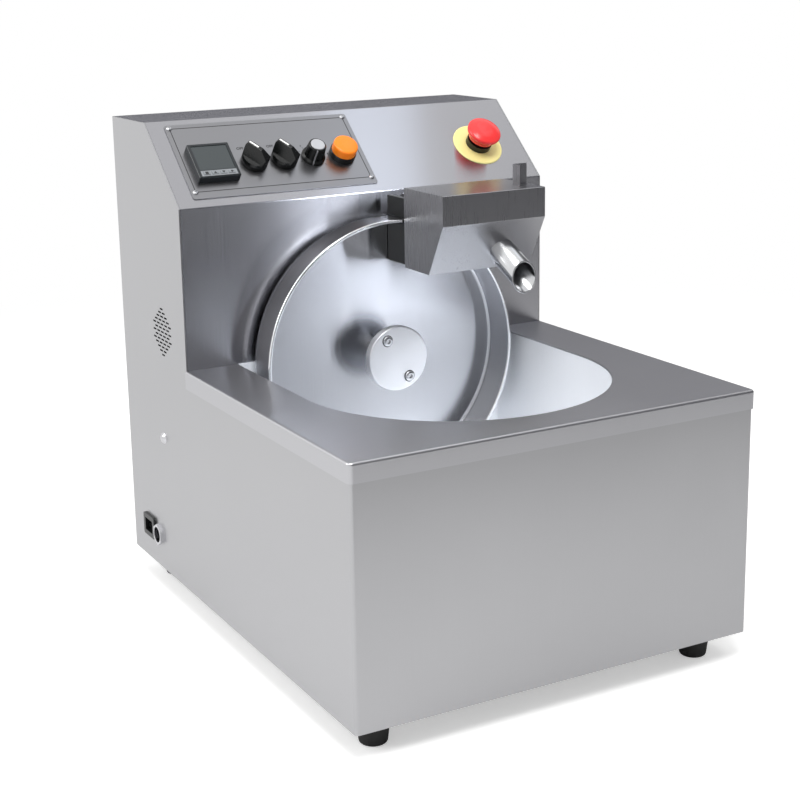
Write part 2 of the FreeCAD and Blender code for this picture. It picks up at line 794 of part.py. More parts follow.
def stop_body():
    """Stop switch: collar over the disc, neck, nut and contact block, bored for the stem."""
    behind = -sheet
    collar = rod(stop_collar_radius, stop_collar, (0, 0, stop_disc))
    neck = rod(switch_hole_radius - sheet_gap, sheet + stop_disc + switch_nut, (0, 0, behind - switch_nut))
    nut = rod(switch_nut_radius, switch_nut, (0, 0, behind - switch_nut))
    half = switch_body_width / 2
    block = box(-half, -half, behind - switch_nut - stop_body_depth, half, half, behind - switch_nut)
    bore_depth = stop_collar + stop_disc + 2 * stop_travel
    bore = rod(stop_stem_radius + running_gap, bore_depth + 1, (0, 0, stop_disc + stop_collar - bore_depth))
    return on_slope(collar.fuse(neck).fuse(nut).fuse(block).cut(bore), stop_place, stop_up)


def stop_stem():
    """Plunger that the red button turns on."""
    top = stop_disc + stop_collar
    stem = rod(stop_stem_radius, stop_collar + stop_travel + stop_disc, (0, 0, 0))
    stem = stem.fuse(rod(0.6 * stop_stem_radius, stop_pin_length, (0, 0, top + stop_travel)))
    return on_slope(stem, stop_place, stop_up)


def stop_button():
    """Red mushroom with a narrower foot and a domed face."""
    low = stop_disc + stop_collar + stop_travel + running_gap
    height = stop_button_height
    side = [(0, 0), (stop_button_base_radius, 0), (stop_button_base_radius, 0.15 * height),
            (stop_button_radius, 0.55 * height), (stop_button_radius, 0.72 * height), (0, 0.72 * height)]
    button = turned(side)
    rise = 0.28 * height
    dome_radius = (stop_button_radius ** 2 + rise ** 2) / (2 * rise)
    dome = Part.makeSphere(dome_radius, Vector(0, 0, height - dome_radius))
    button = button.fuse(dome.common(rod(stop_button_radius, height, (0, 0, 0.72 * height))))
    button = button.removeSplitter()
    button = rounded(button, 2.0, lambda m, e: abs(m.z - 0.72 * height) < 0.01 and m.Length > 0.7 * height)
    button = button.cut(rod(0.6 * stop_stem_radius + running_gap, stop_pin_length + running_gap))
    button.translate(Vector(0, 0, low))
    return on_slope(button, stop_place, stop_up)


def wheel():
    """Open-fronted dish: a flat web at the back and a wide rim with a round front edge."""
    depth = wheel_dish_depth
    bore = hub_tube_radius + running_gap
    profile = [(bore, 0), (wheel_radius, 0), (wheel_radius, depth), (wheel_radius - wheel_rim, depth),
               (wheel_radius - wheel_rim, wheel_web), (bore, wheel_web)]
    dish = turned(profile)
    dish = rounded(dish, 0.45 * wheel_rim, lambda m, e: m.z > depth - 0.01)
    dish = rounded(dish, wheel_outer_radius,
                   lambda m, e: m.z < 0.01 and math.hypot(m.x, m.y) > wheel_radius - 0.01)
    dish = rounded(dish, wheel_inner_radius,
                   lambda m, e: abs(m.z - wheel_web) < 0.01 and math.hypot(m.x, m.y) > 2 * hub_tube_radius)
    return facing_front(dish, 0, wheel_back_place, wheel_centre_height)


def wheel_hub():
    """Turned hub: flange behind the web, tube through it and a flange that carries the cap."""
    front = wheel_front_place - cap_stand_out + cap_thickness
    length = wheel_back_place - front
    bore = shaft_radius + running_gap
    profile = [(bore, -hub_back_flange), (hub_flange_radius, -hub_back_flange), (hub_flange_radius, 0),
               (hub_tube_radius, 0), (hub_tube_radius, length - hub_flange),
               (hub_flange_radius, length - hub_flange), (hub_flange_radius, length), (bore, length)]
    hub = turned(profile)
    holes = [rod(cap_screw_radius + running_gap, hub_flange, (x, y, length - hub_flange))
             for x, y in cap_screw_places()]
    return facing_front(hub.cut(Part.makeCompound(holes)), 0, wheel_back_place, wheel_centre_height)


def cap_screw_places():
    angle = math.radians(cap_screw_angle)
    x = cap_screw_circle * math.cos(angle)
    y = cap_screw_circle * math.sin(angle)
    return [(x, y), (-x, -y)]


def hub_cap():
    """Round cap over the shaft's end, held by two screws."""
    cap = turned([(0, 0), (cap_radius, 0), (cap_radius, cap_thickness), (0, cap_thickness)])
    cap = rounded(cap, 1.2, lambda m, e: m.z > cap_thickness - 0.01)
    holes = [rod(cap_screw_radius + running_gap, cap_thickness, (x, y, 0)) for x, y in cap_screw_places()]
    back = wheel_front_place - cap_stand_out + cap_thickness
    return facing_front(cap.cut(Part.makeCompound(holes)), 0, back, wheel_centre_height)


def hub_cap_screws():
    """Two button-head screws with a hexagon recess."""
    screws = []
    end = 1 - cap_thickness - hub_flange
    for x, y in cap_screw_places():
        screw = turned([(0, end), (cap_screw_radius, end), (cap_screw_radius, 0),
                        (cap_screw_head_radius, 0), (cap_screw_head_radius, 0.35 * cap_screw_head),
                        (0.62 * cap_screw_head_radius, cap_screw_head), (0, cap_screw_head)])
        screw = screw.cut(hexagon(0.4 * cap_screw_head_radius, 0.25 * cap_screw_head, cap_screw_head))
        screw.translate(Vector(x, y, 0))
        screws.append(screw)
    front = wheel_front_place - cap_stand_out
    return facing_front(Part.makeCompound(screws), 0, front, wheel_centre_height)


def drive_shaft():
    """Steel shaft from the gearbox to the cap, with chamfered ends."""
    front = wheel_front_place - cap_stand_out + cap_thickness
    back = motor_place - 2 * flange
    length = back - front
    shaft = turned([(0, 0), (shaft_radius - 1, 0), (shaft_radius, 1), (shaft_radius, length - 1),
                    (shaft_radius - 1, length), (0, length)])
    return facing_front(shaft, 0, back, wheel_centre_height)


def shaft_seal():
    """Rubber lip seal in the front of the bearing housing."""
    lip = turned([(shaft_radius + running_gap, 0), (seal_radius, 0), (seal_radius, seal_thickness),
                  (shaft_radius + 2, seal_thickness), (shaft_radius + running_gap, 0.5 * seal_thickness)])
    return facing_front(lip, 0, wall_place - housing_nose + seal_thickness, wheel_centre_height)


def bearing_housing():
    """Turned housing behind the head wall, bored for the seal and two bearings."""
    nose = wall_place - housing_nose
    length = housing_back_place - nose
    housing = rod(housing_radius, length, (0, nose, wheel_centre_height), (0, 1, 0))
    housing = housing.fuse(rod(housing_flange_radius, housing_flange,
                               (0, inner_wall_place, wheel_centre_height), (0, 1, 0)))
    housing = housing.cut(rod(seal_radius + running_gap, seal_thickness + running_gap,
                              (0, nose, wheel_centre_height), (0, 1, 0)))
    housing = housing.cut(rod(shaft_radius + 2, length, (0, nose, wheel_centre_height), (0, 1, 0)))
    for start in bearing_places():
        housing = housing.cut(rod(bearing_radius + running_gap, bearing_width + running_gap,
                                  (0, start, wheel_centre_height), (0, 1, 0)))
    return housing


def bearing_places():
    return [inner_wall_place + housing_flange, housing_back_place - bearing_width - running_gap]


def bearing(start):
    """Ball bearing: two rings with a closed ball track between them."""
    race = turned([(shaft_radius + running_gap, 0), (bearing_radius, 0), (bearing_radius, bearing_width),
                   (shaft_radius + running_gap, bearing_width)])
    groove = ring(0.78 * bearing_radius, 0.68 * bearing_radius, 0.15 * bearing_width)
    far_groove = groove.copy()
    far_groove.translate(Vector(0, 0, 0.85 * bearing_width))
    return facing_front(race.cut(groove).cut(far_groove), 0, start + bearing_width, wheel_centre_height)


def motor_bracket():
    """Angle bracket on the base plate that carries the gearbox."""
    front = housing_back_place
    half = bracket_width / 2
    low = foot_height + sheet
    top = wheel_centre_height + gearbox_width / 2
    plate = box(-half, front, low, half, front + bracket_thickness, top)
    foot_sheet = box(-half, front, low, half, front + bracket_foot, low + bracket_thickness)
    gusset = [(front + bracket_thickness, low), (front + bracket_foot, low),
              (front + bracket_thickness, low + bracket_foot)]
    shape = plate.fuse(foot_sheet)
    for x in (-half, half - bracket_thickness):
        shape = shape.fuse(across(gusset, x, x + bracket_thickness))
    hole = rod(shaft_radius + 2, 2 * bracket_thickness, (0, front - 1, wheel_centre_height), (0, 1, 0))
    return shape.cut(hole)


def gearbox():
    """Gear housing with a hollow output that takes the shaft."""
    front = gearbox_place
    half = gearbox_width / 2
    body = box(-half, front, wheel_centre_height - half, half, motor_place, wheel_centre_height + half)
    body = rounded(body, 8, lambda m, e: abs(e.tangentAt(e.FirstParameter).y) > 0.999)
    bore = rod(shaft_radius + running_gap, gearbox_length - 2 * flange + 1,
               (0, front, wheel_centre_height), (0, 1, 0))
    return body.cut(bore)


def motor():
    """Motor can with cooling rings and a rear bell."""
    profile = [(0, 0), (motor_radius, 0)]
    pitch = 0.75 * motor_length / motor_rings
    drop = motor_radius - motor_ring_drop
    for i in range(motor_rings):
        start = 0.05 * motor_length + i * pitch
        end = start + pitch / 2
        profile += [(motor_radius, start), (drop, start), (drop, end), (motor_radius, end)]
    profile += [(motor_radius, 0.9 * motor_length), (motor_radius - motor_bell, motor_length),
                (0, motor_length)]
    can = turned(profile)
    return facing_front(can, 0, motor_place + motor_length, wheel_centre_height)


def hopper_side(offset, back):
    """Side view of the hopper, moved inwards by offset."""
    drop = hopper_fold_height - hopper_bottom_height
    lean = math.atan2(hopper_nose_setback, drop)
    slope_shift = offset * math.tan(lean / 2)
    bottom_shift = offset * math.tan((math.pi / 2 - lean) / 2)
    front = hopper_front_place
    return [(front + offset, hopper_top_height - offset),
            (front + offset, hopper_fold_height - slope_shift),
            (front + hopper_nose_setback + bottom_shift, hopper_bottom_height + offset),
            (back, hopper_bottom_height + offset), (back, hopper_top_height - offset)]


def hopper_inside():
    """The hollow of the hopper, open at the back below the hanging plate."""
    left = hopper_left_place + sheet
    right = hopper_left_place + hopper_width - sheet
    room = across(hopper_side(sheet, hopper_back_place - sheet), left, right)
    mouth = box(left, hopper_back_place - 2 * sheet, hopper_bottom_height + sheet,
                right, hopper_back_place + sheet, hopper_mouth_height)
    slot = box(left, hopper_back_place - 2 * sheet, hopper_bottom_height + sheet,
               blade_right_place + sheet_gap, hopper_back_place + sheet, blade_top_height + sheet_gap)
    return room.fuse(mouth).fuse(slot).removeSplitter()


def spout_line():
    """Where the spout's axis crosses the hopper's sloping front, and its direction."""
    drop = hopper_fold_height - hopper_bottom_height
    setback = hopper_nose_setback * (hopper_fold_height - spout_height) / drop
    start = Vector(hopper_left_place + spout_across, hopper_front_place + setback, spout_height)
    along = Vector(spout_side_slope, -1, -spout_fall)
    return start, along.normalize()


def spout_rod(radius, before, after):
    start, along = spout_line()
    return Part.makeCylinder(radius, before + after, start - along * before, along)


def hopper():
    """Scraper box of folded sheet: top, sloping front, sides, inner floor, sleeves and a grip."""
    left = hopper_left_place
    right = left + hopper_width
    shell = across(hopper_side(0, hopper_back_place), left, right)
    shell = rounded(shell, 0.8 * sheet,
                    lambda m, e: abs(m.y - hopper_front_place) < 0.01 and abs(m.x - (left + right) / 2) < 1)
    shell = shell.cut(hopper_inside())
    window = box(left + hopper_lip, hopper_front_place + hopper_nose_setback + hopper_lip,
                 hopper_bottom_height - sheet, right - hopper_lip,
                 hopper_back_place - hopper_lip, hopper_bottom_height + 2 * sheet)
    shell = shell.cut(window)
    high = hopper_bottom_height + hopper_floor_lift
    low = high - hopper_floor_drop
    floor = outline([(left, 0, high), (right, 0, low), (right, 0, low + sheet), (left, 0, high + sheet)])
    floor = floor.extrude(Vector(0, body_depth, 0)).common(hopper_inside())
    floor = floor.cut(box(left, hopper_back_place - blade_root - sheet_gap, 0,
                          blade_right_place + sheet_gap, body_depth, total_height))
    shell = shell.fuse(floor)
    for x in pin_places():
        sleeve = rod(pin_radius + sleeve_wall, sleeve_length,
                     (x, hopper_back_place - sheet - sleeve_length, pin_height), (0, 1, 0))
        bore = rod(pin_radius + running_gap, sleeve_length + 4 * sheet,
                   (x, hopper_back_place - sleeve_length - 2 * sheet, pin_height), (0, 1, 0))
        shell = shell.fuse(sleeve).cut(bore)
    shell = shell.cut(spout_rod(spout_radius + running_gap, 3 * spout_radius, 3 * spout_radius)
                      .common(spout_wall_zone()))
    grip_front = hopper_front_place + grip_setback
    grip_back = grip_front + grip_depth
    grip = box(right - grip_width, grip_front, hopper_top_height, right, grip_back,
               hopper_top_height + grip_height)
    grip = grip.cut(box(right - grip_width + sheet, grip_front - sheet, 0,
                        right + sheet, grip_back - sheet, total_height))
    return shell.fuse(grip).removeSplitter()


def spout_wall_zone():
    """The room round the sloping front sheet, where the spout goes through it."""
    reach = 2 * spout_radius
    start, _ = spout_line()
    return box(start.x - reach, 0, hopper_bottom_height - reach, start.x + reach,
               start.y + reach, hopper_fold_height + reach)


def spout_tube():
    """Polished tube from the hopper's front, cut off upright at its mouth."""
    tube = spout_rod(spout_radius, 2 * spout_radius, 4 * spout_radius)
    tube = tube.cut(spout_rod(spout_radius - sheet, 3 * spout_radius, 5 * spout_radius))
    tube = tube.cut(hopper_inside())
    start, _ = spout_line()
    mouth = start.y - spout_reach
    tube = tube.cut(box(-body_width, mouth - body_depth, 0, body_width, mouth, total_height))
    return max(tube.Solids, key=lambda solid: solid.Volume)


def pin_places():
    return [hopper_left_place + pin_inset, hopper_left_place + hopper_width - pin_inset]


def hopper_pins():
    """Two steel pins welded into the head wall, with a collar against the wall."""
    pins = []
    for x in pin_places():
        pin = turned([(0, -sheet), (pin_radius, -sheet), (pin_radius, 0), (2 * pin_radius, 0),
                      (2 * pin_radius, sheet), (pin_radius, sheet), (pin_radius, pin_reach - 1),
                      (pin_radius - 1, pin_reach), (0, pin_reach)])
        pins.append(facing_front(pin, x, wall_place, pin_height))
    return Part.makeCompound(pins)


def scraper_blade():
    """Plastic blade on the hopper's left side, slotted so that it straddles the wheel's rim."""
    front = hopper_back_place - blade_root
    back = web_front_place - blade_gap
    low = hopper_bottom_height + blade_bottom_lift
    rim_in = wheel_radius - wheel_rim - blade_gap
    rim_out = wheel_radius + blade_gap
    under = wheel_centre_height + math.sqrt(rim_in ** 2 - blade_right_place ** 2)
    over = wheel_centre_height + math.sqrt(rim_out ** 2 - blade_left_place ** 2)
    side = [(front, low), (back, low), (back, under - blade_corner), (back - blade_corner, under),
            (hopper_back_place, under), (hopper_back_place, over), (back, over),
            (back, blade_top_height), (front, blade_top_height)]
    return across(side, blade_left_place, blade_right_place)


def fan_frame():
    """Square fan frame behind the vent, with a round duct and a hub on arms."""
    half = fan_size / 2
    frame = box(-half, -half, 0, half, half, fan_depth)
    frame = rounded(frame, fan_arm, lambda m, e: upright(e))
    frame = frame.cut(rod(fan_rotor_radius + fan_tip_gap, fan_depth))
    motor_seat = rod(fan_hub_radius, fan_arm)
    arm_half = fan_arm / 2
    arms = box(-half, -arm_half, 0, half, arm_half, fan_arm)
    arms = arms.fuse(box(-arm_half, -half, 0, arm_half, half, fan_arm))
    frame = frame.fuse(motor_seat).fuse(arms)
    frame = frame.fuse(rod(fan_pin_radius, 0.6 * fan_depth))
    frame.translate(Vector(0, 0, -sheet - fan_depth))
    return facing_left(frame, vent_back, vent_height)


def fan_rotor():
    """Fan hub with twisted blades, running on the frame's pin."""
    low = fan_arm + 10 * running_gap
    height = fan_depth - low - 2 * sheet
    hub = rod(fan_hub_radius, height)
    blades = []
    for i in range(fan_blades):
        blade = box(0, -fan_blade_thickness / 2, 0, fan_rotor_radius, fan_blade_thickness / 2, 0.8 * height)
        blade.rotate(Vector(0, 0, 0.4 * height), Vector(1, 0, 0), fan_blade_pitch)
        blade.rotate(Vector(), Vector(0, 0, 1), 360 * i / fan_blades)
        blades.append(blade)
    rotor = hub
    for blade in blades:
        rotor = rotor.fuse(blade)
    rotor = rotor.common(rod(fan_rotor_radius, height))
    rotor = rotor.cut(rod(fan_pin_radius + running_gap, 0.6 * fan_depth - low + 10 * running_gap))
    rotor.translate(Vector(0, 0, low - sheet - fan_depth))
    return facing_left(rotor, vent_back, vent_height)


def reset_switch():
    """Reset switch body behind the side sheet, bored for its button."""
    body = rod(reset_collar_radius, reset_body_depth, (0, 0, -sheet - reset_body_depth))
    bore_depth = 4 * reset_travel
    bore = rod(reset_radius + running_gap, bore_depth, (0, 0, -sheet - bore_depth))
    return facing_left(body.cut(bore), reset_back, reset_height)


def reset_button():
    """Domed button that stands out of the left side."""
    rise = reset_stand_out
    dome_radius = (reset_radius ** 2 + rise ** 2) / (2 * rise)
    dome = Part.makeSphere(dome_radius, Vector(0, 0, rise - dome_radius))
    button = dome.common(rod(reset_radius, rise, (0, 0, 0)))
    guide = sheet + 2.5 * reset_travel
    button = button.fuse(rod(reset_radius, guide, (0, 0, -guide)))
    return facing_left(button.removeSplitter(), reset_back, reset_height)


def power_inlet():
    """Mains inlet: flange outside, socket body inside, three pins in the socket."""
    tall = inlet_tall / 2
    wide = inlet_width / 2
    rim = inlet_flange
    shell = box(-tall - rim, -wide - rim, 0, tall + rim, wide + rim, inlet_flange)
    shell = rounded(shell, rim, lambda m, e: upright(e))
    shell = shell.fuse(box(-tall, -wide, -inlet_depth, tall, wide, 0))
    shell = shell.cut(box(-tall + inlet_wall, -wide + inlet_wall, inlet_flange - inlet_socket_depth,
                          tall - inlet_wall, wide - inlet_wall, inlet_flange))
    floor = inlet_flange - inlet_socket_depth
    half_pin = inlet_pin_width / 2
    half_thin = inlet_pin_thickness / 2
    pins = [(inlet_pin_rise, 0), (-inlet_pin_rise, -inlet_pin_pitch), (-inlet_pin_rise, inlet_pin_pitch)]
    for up, back in pins:
        shell = shell.fuse(box(up - half_pin, back - half_thin, floor,
                               up + half_pin, back + half_thin, floor + inlet_pin_length))
    return facing_left(shell, inlet_back, inlet_height)


def accessory_socket():
    """Round metal socket with a hexagon nut outside and a hollow sleeve inside."""
    nut = hexagon(socket_radius, 0, socket_nut)
    sleeve = rod(socket_bore_radius + sheet, socket_depth + sheet, (0, 0, -socket_depth - sheet))
    bore = rod(socket_bore_radius, socket_depth + socket_nut, (0, 0, -socket_depth))
    return facing_left(nut.fuse(sleeve).cut(bore), socket_back, socket_height)


def rear_cover():
    """Flat rear cover with folded flanges and two groups of vent slots."""
    gap = sheet + sheet_gap
    low = foot_height + 0.5
    cover = box(-half_width + gap, body_depth - sheet, low, half_width - gap, body_depth, total_height)
    slots = []
    for height in (foot_height + 60, total_height - 150):
        for i in range(rear_slot_count):
            middle = (i - (rear_slot_count - 1) / 2) * rear_slot_pitch
            slots.append(box(middle - rear_slot_width / 2, body_depth - 2 * sheet, height,
                             middle + rear_slot_width / 2, body_depth + sheet, height + rear_slot_length))
    return cover.cut(Part.makeCompound(slots + cover_screw_holes()))


def cover_screw_holes():
    """Cutters for the rear screws, through the cover and the flanges that it lies on."""
    return [rod(cover_screw_radius + running_gap, 6 * sheet, (x, body_depth - 4 * sheet, z), (0, 1, 0))
            for x, z in cover_screw_places()]


def cover_screw_places():
    side = half_width - sheet - sheet_gap - cover_screw_inset
    low = foot_height + cover_screw_inset
    high = total_height - cover_screw_inset
    middle = (low + high) / 2
    return [(sx * side, z) for sx in (-1, 1) for z in (low, middle, high)]


def rear_cover_screws():
    screws = []
    for x, z in cover_screw_places():
        screw = flat_screw(cover_screw_radius, 8, cover_screw_head_radius, cover_screw_head)
        screws.append(placed(screw, Vector(x, body_depth, z), Rotation(Vector(1, 0, 0), -90)))
    return Part.makeCompound(screws)


def control_board():
    """Circuit board on four standoffs on the base plate, with its relay and capacitors."""
    x0 = board_middle - board_width / 2
    y0 = board_back - board_depth / 2
    low = foot_height + sheet + board_standoff
    shape = box(x0, y0, low, x0 + board_width, y0 + board_depth, low + board_thickness)
    inset = 2 * board_standoff_radius
    for x in (x0 + inset, x0 + board_width - inset):
        for y in (y0 + inset, y0 + board_depth - inset):
            shape = shape.fuse(rod(board_standoff_radius, board_standoff, (x, y, low - board_standoff)))
    top = low + board_thickness
    left = x0 + board_margin
    near = y0 + board_margin
    shape = shape.fuse(box(left, near, top, left + relay_size, near + relay_size, top + relay_height))
    for i in range(capacitor_count):
        can_place = (left + relay_size + capacitor_pitch * (i + 1), near + relay_size / 2, top)
        shape = shape.fuse(rod(capacitor_radius, capacitor_height, can_place))
    far = y0 + board_depth - board_margin
    return shape.fuse(box(left, far - terminal_size, top, x0 + board_width - board_margin, far,
                          top + terminal_size))


foot_names = ["foot_front_left", "foot_front_right", "foot_rear_left", "foot_rear_right"]
front_bearing_place, rear_bearing_place = bearing_places()

pieces = {
    "body_wrap": body_wrap(),
    "rear_cover": rear_cover(),
    "rear_cover_screws": rear_cover_screws(),
    "base_plate": base_plate(),
    "foot_screws": foot_screws(),
    "deck": deck(),
    "bowl": bowl(),
    "heater_mat": heater_mat(),
    "temperature_probe": temperature_probe(),
    "head_cover": head_cover(),
    "control_plate": control_plate(),
    "control_plate_screws": control_plate_screws(),
    "controller_case": controller_case(),
    "controller_window": controller_window(),
    "left_switch": switch_body(left_switch_place),
    "left_knob": switch_knob(left_switch_place),
    "right_switch": switch_body(right_switch_place),
    "right_knob": switch_knob(right_switch_place),
    "speed_dial": speed_dial_body(),
    "speed_knob": speed_knob(),
    "speed_knob_cap": speed_knob_cap(),
    "lamp_body": lamp_body(),
    "lamp_lens": lamp_lens(),
    "stop_disc": stop_disc_plate(),
    "stop_switch": stop_body(),
    "stop_stem": stop_stem(),
    "stop_button": stop_button(),
    "wheel": wheel(),
    "wheel_hub": wheel_hub(),
    "hub_cap": hub_cap(),
    "hub_cap_screws": hub_cap_screws(),
    "drive_shaft": drive_shaft(),
    "shaft_seal": shaft_seal(),
    "bearing_housing": bearing_housing(),
    "front_bearing": bearing(front_bearing_place),
    "rear_bearing": bearing(rear_bearing_place),
    "motor_bracket": motor_bracket(),
    "gearbox": gearbox(),
    "motor": motor(),
    "hopper": hopper(),
    "spout_tube": spout_tube(),
    "scraper_blade": scraper_blade(),
    "hopper_pins": hopper_pins(),
    "fan_frame": fan_frame(),
    "fan_rotor": fan_rotor(),
    "reset_switch": reset_switch(),
    "reset_button": reset_button(),
    "power_inlet": power_inlet(),
    "accessory_socket": accessory_socket(),
    "control_board": control_board(),
}
for name, place in zip(foot_names, foot_places()):
    pieces[name] = foot(*place)
for number, key_place in enumerate(key_places(), start=1):
    pieces["controller_key_%d" % number] = controller_key(key_place)

os.makedirs("parts", exist_ok=True)
for name, shape in pieces.items():
    shape.translate(Vector(-origin_across, -origin_back, 0))
    shape.exportStep("parts/%s.step" % name)
    print(name, "solids", len(shape.Solids), "valid", shape.isValid(), "volume", round(shape.Volume))
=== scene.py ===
"""The looks of a tabletop chocolate melter in stainless steel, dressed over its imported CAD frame."""
import json
import math

import bmesh
import bpy
from mathutils import Matrix, Vector


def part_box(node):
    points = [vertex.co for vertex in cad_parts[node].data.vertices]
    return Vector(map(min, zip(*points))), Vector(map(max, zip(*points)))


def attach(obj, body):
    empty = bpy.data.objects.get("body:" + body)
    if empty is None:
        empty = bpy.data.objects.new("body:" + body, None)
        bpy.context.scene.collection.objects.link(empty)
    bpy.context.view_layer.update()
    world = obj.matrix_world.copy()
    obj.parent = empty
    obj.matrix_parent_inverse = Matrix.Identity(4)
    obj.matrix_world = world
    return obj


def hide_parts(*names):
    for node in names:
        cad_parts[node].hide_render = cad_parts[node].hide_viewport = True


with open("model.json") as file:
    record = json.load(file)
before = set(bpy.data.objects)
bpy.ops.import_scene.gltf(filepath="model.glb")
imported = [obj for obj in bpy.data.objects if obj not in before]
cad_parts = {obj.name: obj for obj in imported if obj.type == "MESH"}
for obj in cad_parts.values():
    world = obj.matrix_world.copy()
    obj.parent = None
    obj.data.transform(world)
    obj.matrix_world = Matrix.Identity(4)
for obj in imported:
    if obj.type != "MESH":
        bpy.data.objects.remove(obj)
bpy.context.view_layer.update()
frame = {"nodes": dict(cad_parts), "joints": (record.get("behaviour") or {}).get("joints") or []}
nodes = frame["nodes"]
joints = {joint["name"]: joint for joint in frame["joints"]}
mm = 0.001

# Camera: fitted to the corners of the casing, whose front panel faces -Y. The values are its place in
# the object's frame, its turn about Z, its fall below the horizon and its tilt, in degrees.
camera_place = Vector((-0.8078, -1.4318, 0.6972))
camera_azimuth = -27.896
camera_elevation = 13.272
camera_roll = -1.213
focal_pixels = 1573.4
centre_pixel = Vector((370.7, 340.7))
image_side = 800
sensor = 36

azimuth = math.radians(camera_azimuth)
elevation = math.radians(camera_elevation)
roll = math.radians(camera_roll)
back = Vector((math.sin(azimuth) * math.cos(elevation), -math.cos(azimuth) * math.cos(elevation),
               math.sin(elevation)))
level = Vector((0, 0, 1)).cross(back).normalized()
upward = back.cross(level)
right = level * math.cos(roll) + upward * math.sin(roll)
up = upward * math.cos(roll) - level * math.sin(roll)
camera_data = bpy.data.cameras.new("camera")
camera_data.sensor_width = sensor
camera_data.lens = sensor * focal_pixels / image_side
camera_data.shift_x = (image_side / 2 - centre_pixel.x) / image_side
camera_data.shift_y = (centre_pixel.y - image_side / 2) / image_side
camera_data.clip_end = 100
camera = bpy.data.objects.new("camera", camera_data)
turn = Matrix((right, up, back)).transposed().to_4x4()
camera.matrix_world = Matrix.Translation(camera_place) @ turn
bpy.context.scene.collection.objects.link(camera)
bpy.context.scene.camera = camera
bpy.context.scene.view_settings.view_transform = "Standard"


# Studio floor and surround: white for the camera and in reflections, and soft light for the rest.
# Away from the object the floor fades into the white of the surround. Steel sees it a little darker.
def linear(code):
    """An sRGB hex colour as linear red, green, blue and alpha."""
    parts = [int(code[i:i + 2], 16) / 255 for i in (1, 3, 5)]
    return [p / 12.92 if p <= 0.04045 else ((p + 0.055) / 1.055) ** 2.4 for p in parts] + [1.0]


def add(tree, kind, inputs=(), **settings):
    """Add a node; an input is a value, or the output of another node to link."""
    new = tree.nodes.new(kind)
    for name, value in settings.items():
        setattr(new, name, value)
    for name, value in dict(inputs).items():
        if isinstance(value, bpy.types.NodeSocket):
            tree.links.new(value, new.inputs[name])
        else:
            new.inputs[name].default_value = value
    return new


def new_material(name):
    """An empty material and its tree; finish_material links the shader to its output."""
    material = bpy.data.materials.new(name)
    material.use_nodes = True
    material.node_tree.nodes.clear()
    return material, material.node_tree


def finish_material(tree, shader):
    add(tree, "ShaderNodeOutputMaterial", {"Surface": shader.outputs[0]})


def seen_directly(tree, ray):
    """1 for rays from the camera, off a glossy face or through a clear one, and 0 for soft light."""
    seen = add(tree, "ShaderNodeMath", {0: ray.outputs["Is Camera Ray"],
                                        1: ray.outputs["Is Glossy Ray"]}, operation="MAXIMUM")
    return add(tree, "ShaderNodeMath", {0: seen.outputs[0], 1: ray.outputs["Is Transmission Ray"]},
               operation="MAXIMUM")


floor_white = "#F4F4F3"
floor_mirrored = "#EEEEEE"
floor_side = 60.0
floor_lift = 0.4
fade_start = 0.75
fade_end = 1.9
pure_white = [1, 1, 1, 1]
surround_white = "#F5F5F5"
surround_strength = 0.6

floor_material, tree = new_material("white_studio_floor")
ray = add(tree, "ShaderNodeLightPath")
place = add(tree, "ShaderNodeTexCoord")
distance = add(tree, "ShaderNodeVectorMath", {0: place.outputs["Object"]}, operation="LENGTH")
fade = add(tree, "ShaderNodeMapRange", {"Value": distance.outputs["Value"], "From Min": fade_start,
                                        "From Max": fade_end}, interpolation_type="SMOOTHSTEP")
far = add(tree, "ShaderNodeMath", {0: fade.outputs[0], 1: seen_directly(tree, ray).outputs[0]},
          operation="MULTIPLY")
lift = add(tree, "ShaderNodeMath", {0: ray.outputs["Is Camera Ray"], 1: floor_lift},
           operation="MULTIPLY")
shade = add(tree, "ShaderNodeMix", {0: ray.outputs["Is Glossy Ray"], 6: linear(floor_white),
                                    7: linear(floor_mirrored)}, data_type="RGBA")
matt = add(tree, "ShaderNodeBsdfDiffuse", {"Color": shade.outputs[2]})
glow = add(tree, "ShaderNodeEmission", {"Color": pure_white, "Strength": lift.outputs[0]})
near = add(tree, "ShaderNodeAddShader", {0: matt.outputs[0], 1: glow.outputs[0]})
white = add(tree, "ShaderNodeEmission", {"Color": pure_white, "Strength": 1.0})
finish_material(tree, add(tree, "ShaderNodeMixShader", {0: far.outputs[0], 1: near.outputs[0],
                                                        2: white.outputs[0]}))
bpy.ops.mesh.primitive_plane_add(size=floor_side, location=(0, 0, 0))
floor = bpy.context.object
floor.name = "studio_floor"
floor.data.materials.append(floor_material)

world = bpy.data.worlds.new("studio")
bpy.context.scene.world = world
world.use_nodes = True
tree = world.node_tree
tree.nodes.clear()
seen = seen_directly(tree, add(tree, "ShaderNodeLightPath"))
soft = add(tree, "ShaderNodeBackground", {"Color": linear(surround_white),
                                          "Strength": surround_strength})
white = add(tree, "ShaderNodeBackground", {"Color": pure_white, "Strength": 1.0})
mix = add(tree, "ShaderNodeMixShader", {0: seen.outputs[0], 1: soft.outputs[0], 2: white.outputs[0]})
add(tree, "ShaderNodeOutputWorld", {"Surface": mix.outputs[0]})


